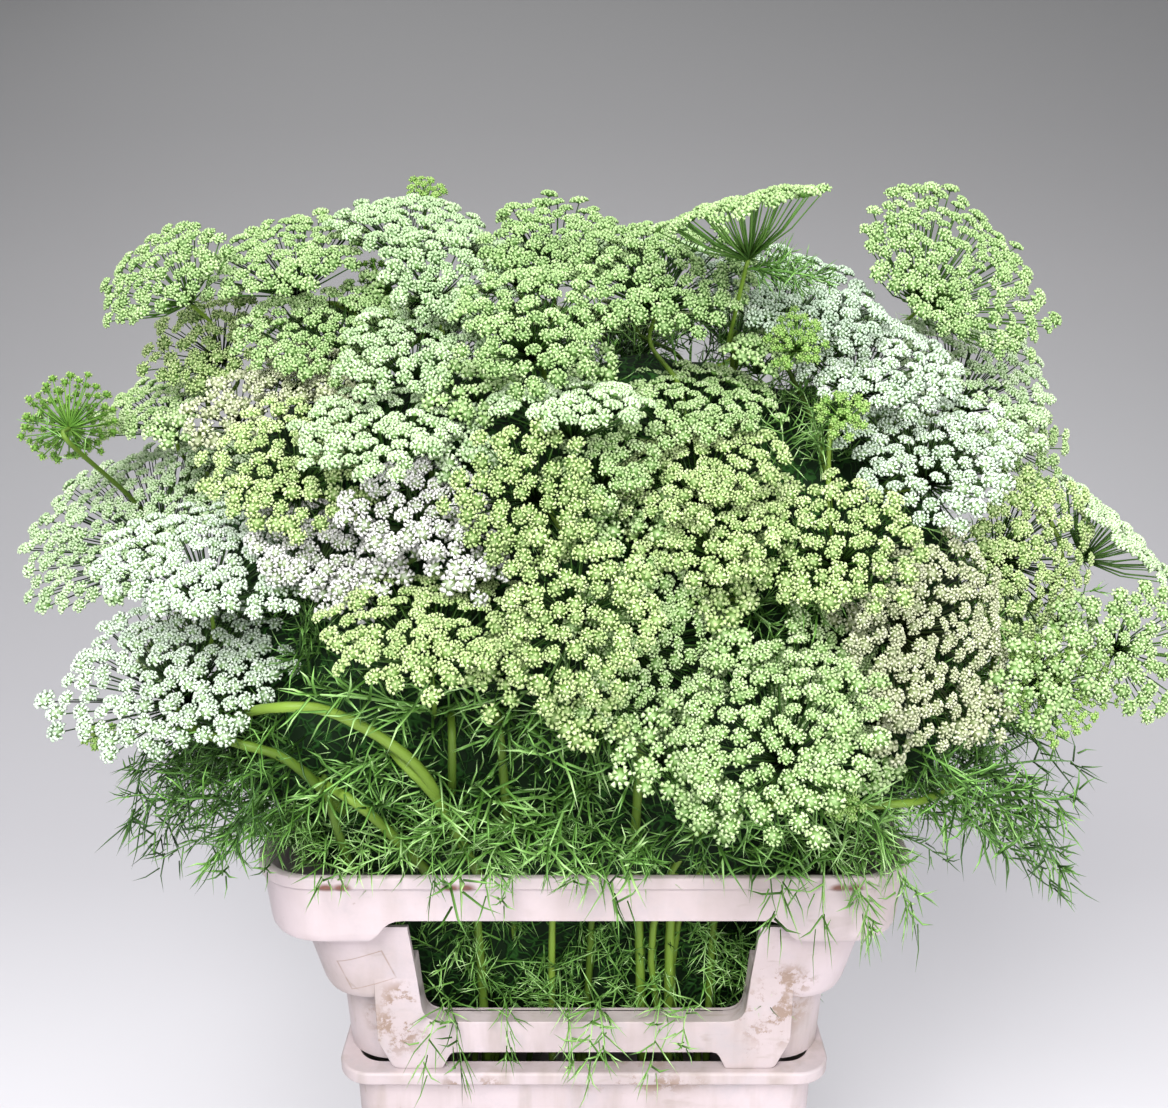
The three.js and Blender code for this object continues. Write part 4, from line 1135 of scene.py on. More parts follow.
@dataclass
class StemBuilder:
    """Routes a stem to every umbel and builds the bunches' stalks."""

    umbels: list[Umbel]
    umbels_per_stem: int = 4
    steps: int = 26
    main_radii: tuple[float, float] = (0.0031, 0.0019)
    shoot_radii: tuple[float, float] = (0.0021, 0.0014)
    stems: list[Stem] = field(default_factory=list)

    def route(self) -> None:
        """Lays every stem: main ones from the foot, side shoots from the nearest main one."""
        for bunch, (x, y) in BUNCH_TIES.items():
            own = sorted((u for u in self.umbels if bunch_of(u.hub) == bunch), key=lambda u: u.turn)
            mains = own[1::self.umbels_per_stem] or own[:1]
            made = [self.main_stem(bunch, x, y, u, i, len(mains)) for i, u in enumerate(mains)]
            self.stems += made
            taken = {id(u) for u in mains}
            for umbel in own:
                if id(umbel) not in taken:
                    shoot = self.shoot(bunch, umbel, made)
                    made.append(shoot)
                    self.stems.append(shoot)

    def main_stem(self, bunch: str, x: float, y: float, umbel: Umbel, order: int, count: int) -> Stem:
        """Routes one main stem from its cut foot through the tie, the throat and the mouth.

        Args:
            bunch: Its bunch.
            x: The tie's place to the right.
            y: The tie's place to the back.
            umbel: The umbel that it ends in.
            order: Its number in the bunch.
            count: How many main stems the bunch has.

        Returns:
            The stem.
        """
        angle, spread = GOLDEN_TURN * order, math.sqrt((order + 0.5) / count)
        aside = np.array([math.cos(angle), math.sin(angle), 0.0]) * spread
        foot = np.array([x, y, FOOT_Z]) + FOOT_SPREAD * aside
        tie = np.array([x, y, TIE_Z]) + TIE_SPREAD * aside
        gates = (THROAT, MOUTH, SHOULDER)
        throat, mouth, shoulder = (self.gate_point(umbel.hub, gate) for gate in gates)
        knee = umbel.hub - 0.045 * umbel.normal
        knee[2] = max(knee[2], mouth[2] + 0.3 * (umbel.hub[2] - mouth[2]))
        knots = [foot, tie, throat, mouth, knee, umbel.hub]
        if knee[2] > SHOULDER.z + 0.07:
            knee[:2] *= 0.8
            knots.insert(4, shoulder)
        return Stem(bunch, smooth_path(knots, self.steps), *self.main_radii)

    def gate_point(self, hub: np.ndarray, gate: Gate) -> np.ndarray:
        """Gives a stem's place at a gate."""
        return np.array([
            np.clip(hub[0] * gate.draw, -gate.half_width, gate.half_width),
            np.clip(hub[1] * gate.draw_deep, -gate.half_depth, gate.half_depth), gate.z])

    def shoot(self, bunch: str, umbel: Umbel, stems: list[Stem]) -> Stem:
        """Routes a side shoot from the stem that passes nearest below its umbel."""
        hub = umbel.hub
        drop = min(0.085, 0.6 * (hub[2] - MOUTH.z))
        points = np.concatenate([s.path for s in stems])
        free = points[(points[:, 2] > THROAT.z) & (points[:, 2] < hub[2] - drop)]
        root = free[np.argmin(np.linalg.norm(free - hub, axis=1))]
        knee = hub - 0.03 * umbel.normal
        knee[2] = max(knee[2], root[2] + 0.4 * (hub[2] - root[2]))
        if umbel.name == "umbel_34":
            knee += np.array([-0.012, 0.055, -0.03])
        lift = root + 0.3 * (hub - root) + np.array([0, 0, 0.012])
        if umbel.name in ("young_upper_right", "young_right_of_middle"):
            knee = hub + np.array([0.0, 0.040, -0.012])
            lift[1] += 0.035
        return Stem(bunch, smooth_path([root, lift, knee, hub], self.steps), *self.shoot_radii)

    def shown_stalks(self) -> list[Stem]:
        """Lays the thick stalks that the photo shows between the threads, in the skirt and in the window."""
        made = []
        for thick, spots in SHOWN_STALKS:
            path = smooth_path([VIEW.point(*spot) for spot in spots], self.steps)
            made.append(Stem(bunch_of(path[self.steps // 2]), path, thick, 0.8 * thick))
        return made

    def build(self) -> None:
        """Builds each bunch's stalks as one piece."""
        tube = tube_template(7, self.steps)
        finish = STALK.material()
        for number, bunch in enumerate(BUNCH_TIES):
            rng = Seed.STALKS.rng(number)
            own = [s for s in self.stems + self.shown_stalks() if s.bunch == bunch]
            paths = np.array([s.path for s in own])
            taper = np.linspace(0, 1, self.steps)
            radii = np.array([s.thick + (s.thin - s.thick) * taper for s in own])
            radii *= 1 + 0.05 * np.sin(np.arange(self.steps) * 1.9)
            cloud = Cloud()
            cloud.sweep(tube, paths, radii, rng.uniform(0.15, 0.85, len(own)))
            piece = cloud.piece(bunch + "_stalks", finish)
            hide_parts(bunch)
            LOG.info("%s: %d stalks", bunch, len(own))


COLLAR_INSIDE = (0.205, 0.145)
LIP_OUTSIDE = (0.238, 0.178)
LIP_TOP = 0.535
LIP_ROOM = 0.006
SKIRT_ENDS = (-0.306, 0.345)
SKIRT_TOP = 0.69
INNER_LIGHT = 0.33
TRIED_SIZES = (1.0, 0.75, 0.55)
LEAF_BOUNDS = np.array([(-0.395, -0.30, 0.35), (0.40, 0.262, 0.995)])
SILL_SPRIGS = (-0.104, -0.098, -0.060, -0.012, 0.008, 0.014, 0.058, 0.084)
LIP_SPRIGS = (
    -0.182, -0.128, -0.104, -0.080, *np.linspace(-0.066, 0.045, 9),
    0.08, 0.108, *np.linspace(0.150, 0.215, 7))
BACK_SPRIG_TURNS = (84, 100, 120, 146, 165, 188, 204, 230, 255, 268)
PIXELS_A_FROND = 620
GAP_DEPTH = 0.070


@dataclass(frozen=True)
class Frond:
    """One frond: its root, its direction, its length, how far its tip hangs and its tone."""

    root: np.ndarray
    way: np.ndarray
    length: float
    droop: float
    tone: float


@dataclass
class Foliage:
    """The thread-like leaves: fronds along the stems, in the windows and over the rims."""

    umbels: list[Umbel]
    stems: list[Stem]
    dome: Dome
    thread: float = 0.00088
    variants: int = 7
    pairs: int = 5
    node_spacing: float = 0.027
    skirt_fronds: int = 420
    corner_fronds: tuple[int, int, int, int] = (84, 44, 30, 16)
    side_fronds: int = 330
    tuft_fronds: int = 9
    dome_fronds: int = 146
    left_shade: float = 0.7
    leafless: float = 0.5
    under_umbels: float = 0.68
    sparse: float = 0.72
    window_fronds: dict = field(default_factory=lambda: {-1: 98, 1: 34})
    fronds: dict = field(default_factory=lambda: {name: [] for name in BUNCH_TIES})

    def threads(self, cloud: Cloud, roots: np.ndarray, ways: np.ndarray, lengths: np.ndarray,
                bends: np.ndarray, radius: float, tones: np.ndarray) -> None:
        """Adds bent threads.

        Args:
            cloud: What they are added to.
            roots: Where they spring from.
            ways: Their directions.
            lengths: Their lengths.
            bends: How far their tips are bent aside, as a share of the length.
            radius: Their radius at the foot.
            tones: Their tones.
        """
        template = thread_template()
        frames = frames_along(ways, np.arange(len(ways)) * 2.1)
        along = template.points[:, 2]
        line = roots[:, None] + ways[:, None] * (lengths[:, None] * along)[:, :, None]
        line = line + frames[:, None, :, 0] * (bends * lengths)[:, None, None] * (along**2)[None, :, None]
        around = frames[:, None, :, 0] * template.points[None, :, 0:1]
        around = around + frames[:, None, :, 1] * template.points[None, :, 1:2]
        cloud.add(line + around * radius, template, tones, WHOLE)

    def frond_template(self, rng: np.random.Generator) -> Template:
        """Makes one frond of length 1 along +X: a rachis with paired threads that fork.

        Args:
            rng: The source of its small differences.

        Returns:
            The frond.
        """
        cloud = Cloud()
        thick = self.thread / 0.09
        sway = rng.uniform(-0.05, 0.05)
        spine_x = np.linspace(0, 0.8, 4)
        spine = np.stack([spine_x, sway * np.sin(3 * spine_x), 0.02 * spine_x], axis=1)
        radii = np.array([[1.35, 1.2, 1.0, 0.5]]) * thick
        cloud.sweep(tube_template(3, 4), spine[None], radii, np.array([0.5]))
        bases, ways, reaches = [], [], []
        for pair in range(self.pairs):
            along = 0.12 + 0.68 * pair / (self.pairs - 1)
            for side in (-1, 1):
                lean, roll = math.radians(rng.uniform(38, 72)), rng.uniform(-1.1, 1.1)
                bases.append((along + rng.uniform(-0.03, 0.03), sway * math.sin(3 * along), 0.0))
                aside = math.sin(lean)
                ways.append((math.cos(lean), side * aside * math.cos(roll), aside * math.sin(roll)))
                reaches.append((0.46 - 0.22 * along) * rng.uniform(0.7, 1.25))
        bases.append((0.78, 0.0, 0.01))
        ways.append((1.0, rng.uniform(-0.3, 0.3), rng.uniform(-0.2, 0.3)))
        reaches.append(0.24)
        bases, ways, reaches = np.array(bases), unit(np.array(ways)), np.array(reaches)
        count = len(bases)
        bends = rng.uniform(0.2, 0.55, count) * rng.choice([-1, 1], count)
        self.threads(cloud, bases, ways, reaches, bends, thick, 0.5 + rng.uniform(-0.3, 0.3, count))
        roots = bases + ways * (reaches * rng.uniform(0.28, 0.42, count))[:, None]
        turned = unit(ways + rng.normal(0, 0.55, (count, 3)) + np.array([0.15, 0, 0]))
        forks = reaches * rng.uniform(0.55, 0.85, count)
        tones = 0.5 + rng.uniform(-0.3, 0.3, count)
        self.threads(cloud, roots, turned, forks, -bends, 0.92 * thick, tones)
        return cloud.template()

    def clear(self, points: np.ndarray) -> bool:
        """Tells whether points keep below and out of every umbel, out of the collar's wall and in bounds."""
        low, high = LEAF_BOUNDS
        x = points[:, 0]
        if points[0, 2] < SKIRT_TOP and np.any((x < SKIRT_ENDS[0]) | (x > SKIRT_ENDS[1])):
            return False
        if np.any(points < low) or np.any(points > high):
            return False
        for umbel in self.umbels:
            away = points - umbel.centre
            height = away @ umbel.normal
            across = np.linalg.norm(away - height[:, None] * umbel.normal, axis=1)
            if np.any((height > -0.004) & (height < 0.06) & (across < umbel.radius)):
                return False
        beside = points[:, 2] < LIP_TOP + LIP_ROOM
        wide, deep = np.abs(points[:, 0]), np.abs(points[:, 1])
        within = (wide < COLLAR_INSIDE[0]) & (deep < COLLAR_INSIDE[1])
        past_end = (wide > LIP_OUTSIDE[0]) & (points[:, 2] > 0.50)
        return bool(np.all(~beside | within | past_end))

    def light(self, at: np.ndarray) -> float:
        """Tells how much light a spot in the skirt gets, from a third deep inside to 1 at the outside."""
        share = float(climb(at[2], 0.54, 0.13))
        out = max(abs(at[0]) / (0.20 + 0.13 * share), abs(at[1]) / (0.135 + 0.115 * share))
        return INNER_LIGHT + (1 - INNER_LIGHT) * float(climb(out, 0.5, 0.5))

    def grow(self, root: np.ndarray, way: np.ndarray, length: float, droop: float, tone: float,
             checked: bool = True) -> bool:
        """Adds a frond where it has room.

        Args:
            root: Where it springs from.
            way: Its direction at the root.
            length: Its length.
            droop: How far its tip hangs below the straight line.
            tone: Its tone, 0 dark to 1 light.
            checked: Whether it must keep clear of the umbels and the collar.

        Returns:
            Whether it was added.
        """
        share = np.array([0.25, 0.5, 0.75, 1.0])[:, None]
        for size in TRIED_SIZES:
            points = root + way * length * size * share
            points[:, 2:] -= droop * size * share**2
            if not checked or self.clear(points):
                lit = tone * self.light(points[2]) if root[2] < 0.7 else tone
                self.fronds[bunch_of(root)].append(Frond(root, way, length * size, droop * size, lit))
                return True
        return False

    def spray(self, rng: np.random.Generator, mirror: tuple[int, int, int], root: Spans, way: Spans,
              rest: Spans, checked: bool = False) -> None:
        """Draws a frond from spans and grows it.

        Args:
            rng: The source of the draws.
            mirror: What the root and the direction are multiplied by.
            root: The spans of its root.
            way: The spans of its direction.
            rest: The spans of its length, its droop and its tone.
            checked: Whether it must keep clear of the umbels and the collar.
        """
        place = drawn(rng, *root) * mirror
        ahead = unit(drawn(rng, *way) * mirror)
        self.grow(place, ahead, *drawn(rng, *rest), checked)

    def along_stems(self) -> None:
        """Sets fronds up every stem above the collar's throat."""
        rng = Seed.ALONG_STEMS.rng()
        for stem in self.stems:
            steps = np.linalg.norm(np.diff(stem.path, axis=0), axis=1)
            length = np.concatenate([[0], np.cumsum(steps)])
            for order, at in enumerate(np.arange(0.01, length[-1] - 0.03, self.node_spacing)):
                root = np.array([np.interp(at, length, stem.path[:, k]) for k in range(3)])
                if root[2] < self.leafless or (root[2] > self.sparse and order % 2):
                    continue
                outward = math.degrees(math.atan2(root[0] / 1.3, -root[1]))
                low = root[2] < self.under_umbels
                rise, size = drawn(rng, *(((-5, 45), (0.08, 0.12)) if low else ((15, 65), (0.06, 0.095))))
                way = heading(outward + rng.normal(0, 45), rise)
                self.grow(root, way, size, *drawn(rng, (0.005, 0.03) if low else 0.008, (0.3, 0.8)))

    def skirt(self) -> None:
        """Fills the ring between the lip and the lowest umbels."""
        rng = Seed.SKIRT.rng()
        for number in range(self.skirt_fronds):
            turns = (rng.normal(0, 50), rng.uniform(-180, 180), rng.choice([-88, 88]) + rng.normal(0, 24))
            turn = turns[number % 3]
            out = heading(turn, 0)
            rim = 1 / max(abs(out[0]) / COLLAR_INSIDE[0], abs(out[1]) / 0.142)
            root = out * rim * rng.uniform(0.45, 0.97)
            root[2] = rng.uniform(0.515, 0.67)
            root[:2] *= 1 + 1.2 * max(0, root[2] - 0.57)
            way = heading(turn + rng.normal(0, 32), rng.uniform(0, 62))
            self.grow(root, way, *drawn(rng, (0.07, 0.115), (0.004, 0.03), (0.3, 0.85)))

    def corners(self) -> None:
        """Fills the collar's ends up to its lip."""
        rng = Seed.CORNERS.rng()
        inner, lip, end, left = self.corner_fronds
        for number in range(inner):
            side = 1 if number % 2 else -1
            deep = rng.uniform(-0.136, -0.03) if number % 3 else rng.uniform(-0.03, 0.136)
            self.spray(rng, (side, 1, 1), ((0.10, 0.194), deep, (0.505, 0.56)),
                       ((-0.2, 0.7), (-0.6, 0.3), (0.5, 1.2)), ((0.05, 0.08), 0.01, (0.4, 1.0)), True)
        for number in range(lip):
            side = -1 if number % 5 < 3 else 1
            self.spray(rng, (side, 1, 1), ((0.09, 0.196), (-0.136, -0.07), (0.538, 0.56)),
                       ((-0.7, 0.8), (-0.8, 0.1), (0.35, 1.0)), ((0.045, 0.07), 0.008, (0.4, 0.95)))
        for number in range(end):
            side = 1 if number % 5 == 0 else -1
            self.spray(rng, (side, 1, 1), ((0.168, 0.2), (-0.132, -0.02), (0.532, 0.548)),
                       ((-0.4, 0.3), (-0.6, 0.1), (0.4, 0.9)), ((0.045, 0.07), 0.012, (0.3, 0.8)))
        for _ in range(left):
            root = drawn(rng, (0.155, 0.194), (0.07, 0.138), (0.515, 0.536)) * (-1, -1, 1)
            way = unit(drawn(rng, (-0.35, 0.05), (-0.3, 0.5), (0.5, 1.0)))
            self.grow(root, way, *drawn(rng, (0.04, 0.06), 0.006, (0.5, 0.9)), checked=False)

    def sides(self) -> None:
        """Spreads fronds out and down past the collar's ends."""
        rng = Seed.SIDES.rng()
        for number in range(self.side_fronds):
            side = 1 if number % 3 == 0 else -1
            root = drawn(rng, (0.185, 0.30), (-0.19, 0.05), (0.57, 0.67)) * (side, 1, 1)
            way = unit(drawn(rng, (0.1, 1.0), (-0.8, 0.25), (-0.4, 0.45)) * (side, 1, 1))
            tone, length, droop = drawn(rng, (0.12, 0.6), (0.055, 0.09), (0.008, 0.04))
            self.grow(root, way, length, droop, tone * (1.0 if side > 0 else self.left_shade))

    def tuft(self) -> None:
        """Sets the tuft of leaves under the umbrella-like umbel at the top right."""
        rng = Seed.TUFT.rng()
        hub = next(u.hub for u in self.umbels if u.name == "umbel_34")
        for _ in range(self.tuft_fronds):
            self.spray(rng, (1, 1, 1), tuple(hub - np.array([0, 0, 0.006])),
                       ((0.3, 1.0), (-0.5, 0.5), (-0.35, 0.25)), ((0.035, 0.062), 0.004, 0.45))

    def windows(self) -> None:
        """Fills both windows, and hangs sprigs over their sills."""
        rng = Seed.WINDOWS.rng()
        for side, count in self.window_fronds.items():
            for _ in range(count):
                root = drawn(rng, (-0.128, 0.128), (0.076, 0.116), (0.38, 0.5)) * (1, side, 1)
                across, ahead = rng.normal(0, 0.9), rng.uniform(-0.05, 0.35)
                way = unit(np.array([across, side * ahead, rng.normal(0.1, 0.8)]))
                self.grow(root, way, *drawn(rng, (0.045, 0.065), 0.006, (0.35, 0.9)), checked=False)
            for x in SILL_SPRIGS:
                root = np.array([x * -side, side * 0.126, 0.41])
                way = unit(np.array([rng.normal(0, 0.3), side, 0.3]))
                droop, length, tone = drawn(rng, (0.035, 0.07), (0.05, 0.07), (0.35, 0.8))
                self.grow(root, way, length, droop, tone, False)

    def over_the_lip(self) -> None:
        """Hangs sprigs over the collar's lip, where the photo shows them and a few round the back."""
        rng = Seed.LIP.rng()
        for x in LIP_SPRIGS:
            far = 0.075 if x > 0.14 else rng.uniform(0.02, 0.045)
            way = unit(np.array([rng.normal(0.05, 0.35), -1, rng.uniform(0.15, 0.5)]))
            root = np.array([x, -0.150, rng.uniform(0.545, 0.56)])
            self.grow(root, way, *drawn(rng, (0.05, 0.075), far, (0.35, 0.8)), checked=False)
        for turn in (*np.linspace(-84, -40, 9), *np.linspace(40, 84, 9)):
            root = self.on_the_rim(turn, COLLAR_INSIDE, 0.95, 0.543)
            way = heading(turn + rng.normal(0, 30), rng.uniform(12, 45))
            self.grow(root, way, *drawn(rng, (0.055, 0.08), (0.012, 0.03), (0.5, 0.9)), checked=False)
        for turn in BACK_SPRIG_TURNS:
            root = self.on_the_rim(turn, (0.222, 0.162), 0.93, 0.55)
            way = heading(turn + rng.normal(0, 20), 18)
            self.grow(root, way, *drawn(rng, (0.06, 0.085), (0.035, 0.07), (0.35, 0.8)), checked=False)

    def on_the_rim(self, turn: float, half: tuple[float, float], share: float, z: float) -> np.ndarray:
        """Gives a spot round a rim.

        Args:
            turn: Its turn from the front, in degrees.
            half: The rim's half width and half depth.
            share: The share of the way out to the rim.
            z: Its height.

        Returns:
            The spot.
        """
        out = heading(turn, 0)
        root = out / max(abs(out[0]) / half[0], abs(out[1]) / half[1]) * share
        root[2] = z
        return root

    def inside_the_dome(self) -> None:
        """Fills the room under the umbels, and more densely the gaps that the photo shows."""
        rng = Seed.DOME.rng()
        for _ in range(self.dome_fronds):
            out = heading(*drawn(rng, (-180, 180), (8, 88)))
            surface = float(self.dome.at(out[None])[0][0])
            root = np.array(self.dome.middle) + out * (surface - rng.uniform(0.085, 0.12))
            way = unit(out + rng.normal(0, 0.45, 3) + np.array([0, 0, 0.25]))
            # painted shade: fronds deep under the umbels get darker tones than those in the gaps
            self.grow(root, way, *drawn(rng, (0.05, 0.075), 0.004, (0.12, 0.6)))
        for x0, y0, x1, y1 in LEAFY_GAPS:
            for _ in range(round((x1 - x0) * (y1 - y0) / PIXELS_A_FROND) + 3):
                found = self.dome.seen_at(*drawn(rng, (x0, x1), (y0, y1)), GAP_DEPTH)
                if found:
                    way = unit(found[1] + rng.normal(0, 0.4, 3))
                    self.grow(found[0], way, *drawn(rng, (0.05, 0.07), 0.002, (0.45, 0.95)))

    def build(self) -> None:
        """Grows every frond and builds one piece a bunch."""
        for grown in (self.along_stems, self.skirt, self.corners, self.sides, self.tuft, self.windows,
                      self.over_the_lip, self.inside_the_dome):
            grown()
        rng = Seed.FRONDS.rng()
        templates = [self.frond_template(rng) for _ in range(self.variants)]
        finish = LEAF.material()
        for bunch, rows in self.fronds.items():
            cloud = Cloud()
            for variant, template in enumerate(templates):
                own = rows[variant::self.variants]
                roots, ways, length, droop, tones = (
                    np.array([getattr(frond, key) for frond in own])
                    for key in ("root", "way", "length", "droop", "tone"))
                frames = frames_along(ways, rng.uniform(-1.2, 1.2, len(own)))
                turned = np.stack([frames[:, :, 2], frames[:, :, 0], frames[:, :, 1]], axis=2)
                placed = np.einsum("kij,nj->kni", turned * length[:, None, None], template.points)
                placed += roots[:, None]
                sag = np.clip(template.points[:, 0], 0, 1.2) ** 2
                placed[:, :, 2] -= droop[:, None] * sag[None]
                cloud.add(placed, template, tones, Band(0.0, 1.0))
            piece = cloud.piece(bunch + "_leaves", finish)
            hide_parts(bunch)
            LOG.info("%s: %d fronds, %d triangles", bunch, len(rows), len(piece.data.polygons))


@dataclass(frozen=True)
class Plan:
    """A rounded rectangle at a height: full width, full depth, corner radius."""

    z: float
    width: float
    depth: float
    corner: float

    def inset(self, by: float, z: float | None = None) -> "Plan":
        """Returns the plan drawn in on every side, at its own height or another."""
        return Plan(self.z if z is None else z, self.width - 2 * by, self.depth - 2 * by,
                    max(self.corner - by, 0.004))


WALL = 0.004


@dataclass
class Moulding:
    """A moulded shell: plans from the foot up the outside, over the top and down the inside."""

    plans: list[Plan]
    closed_foot: bool
    corner_steps: int = 10

    def shell(self) -> bmesh.types.BMesh:
        """Skins the plans into a closed wall.

        Returns:
            The mesh, its faces pointing out.
        """
        bm = bmesh.new()
        bmesh.ops.create_circle(bm, cap_ends=False, segments=4 * (self.corner_steps + 1), radius=1)
        self.place(bm.verts[:], self.plans[0])
        first = edges = bm.edges[:]
        for plan in self.plans[1:]:
            made = bmesh.ops.extrude_edge_only(bm, edges=edges)
            edges = of_kind(made, bmesh.types.BMEdge)
            self.place(of_kind(made, bmesh.types.BMVert), plan)
        if self.closed_foot:
            bmesh.ops.holes_fill(bm, edges=first)
            bmesh.ops.holes_fill(bm, edges=edges)
        else:
            bmesh.ops.bridge_loops(bm, edges=first + edges)
        bmesh.ops.recalc_face_normals(bm, faces=bm.faces[:])
        return bm

    def place(self, ring: list, plan: Plan) -> None:
        """Moves a ring of vertices onto a plan, in their order round the axis."""
        ring = sorted(ring, key=lambda v: math.atan2(v.co.y, v.co.x) % (2 * math.pi))
        for number, vert in enumerate(ring):
            corner, step = divmod(number, self.corner_steps + 1)
            angle = math.pi / 2 * (corner + step / self.corner_steps)
            side_x, side_y = ((1, 1), (-1, 1), (-1, -1), (1, -1))[corner]
            vert.co = (
                side_x * (plan.width / 2 - plan.corner) + plan.corner * math.cos(angle),
                side_y * (plan.depth / 2 - plan.corner) + plan.corner * math.sin(angle), plan.z)


def cut(target: bpy.types.Object, cutters: list[bpy.types.Object]) -> None:
    """Cuts blocks out of a piece and removes them.

    Args:
        target: The piece.
        cutters: The blocks.
    """
    for cutter in cutters:
        tool = target.modifiers.new("cut", "BOOLEAN")
        tool.operation, tool.object, tool.solver = "DIFFERENCE", cutter, "EXACT"
    graph = bpy.context.evaluated_depsgraph_get()
    shaped = bpy.data.meshes.new_from_object(target.evaluated_get(graph))
    target.modifiers.clear()
    old, target.data = target.data, shaped
    bpy.data.meshes.remove(old)
    for cutter in cutters:
        bpy.data.meshes.remove(cutter.data)


def block_along_y(outline: list[tuple[float, float]], low: float, high: float) -> bpy.types.Object:
    """Makes a block from an outline in X and Z, from one depth to another.

    Args:
        outline: Corners as X and Z.
        low: Its front.
        high: Its back.

    Returns:
        The block, as an object for cutting.
    """
    bm = bmesh.new()
    face = bm.faces.new([bm.verts.new((x, low, z)) for x, z in outline])
    moved = of_kind(bmesh.ops.extrude_face_region(bm, geom=[face]), bmesh.types.BMVert)
    bmesh.ops.translate(bm, verts=moved, vec=(0, high - low, 0))
    bmesh.ops.recalc_face_normals(bm, faces=bm.faces[:])
    return linked("cutter", mesh_of(bm, "cutter"))


def rounded(corners: list[tuple[float, float]], radius: float, steps: int = 6) -> list[tuple[float, float]]:
    """Rounds the corners of an outline.

    Args:
        corners: The outline's sharp corners.
        radius: How far from a corner its curve starts.
        steps: Points in a curve.

    Returns:
        The rounded outline.
    """
    made = []
    for i, corner in enumerate(corners):
        here, before, after = (np.array(c) for c in (corner, corners[i - 1], corners[(i + 1) % len(corners)]))
        start, end = here + unit(before - here) * radius, here + unit(after - here) * radius
        for t in np.linspace(0, 1, steps):
            made.append(tuple((1 - t) ** 2 * start + 2 * t * (1 - t) * here + t**2 * end))
    return made


def bezier(a: tuple, b: tuple, c: tuple, d: tuple, steps: int = 10) -> list[tuple[float, float]]:
    """Gives the points of a cubic curve from a to d."""
    a, b, c, d = (np.array(p) for p in (a, b, c, d))
    return [
        tuple((1 - t) ** 3 * a + 3 * (1 - t) ** 2 * t * b + 3 * (1 - t) * t**2 * c + t**3 * d)
        for t in np.linspace(0, 1, steps)]


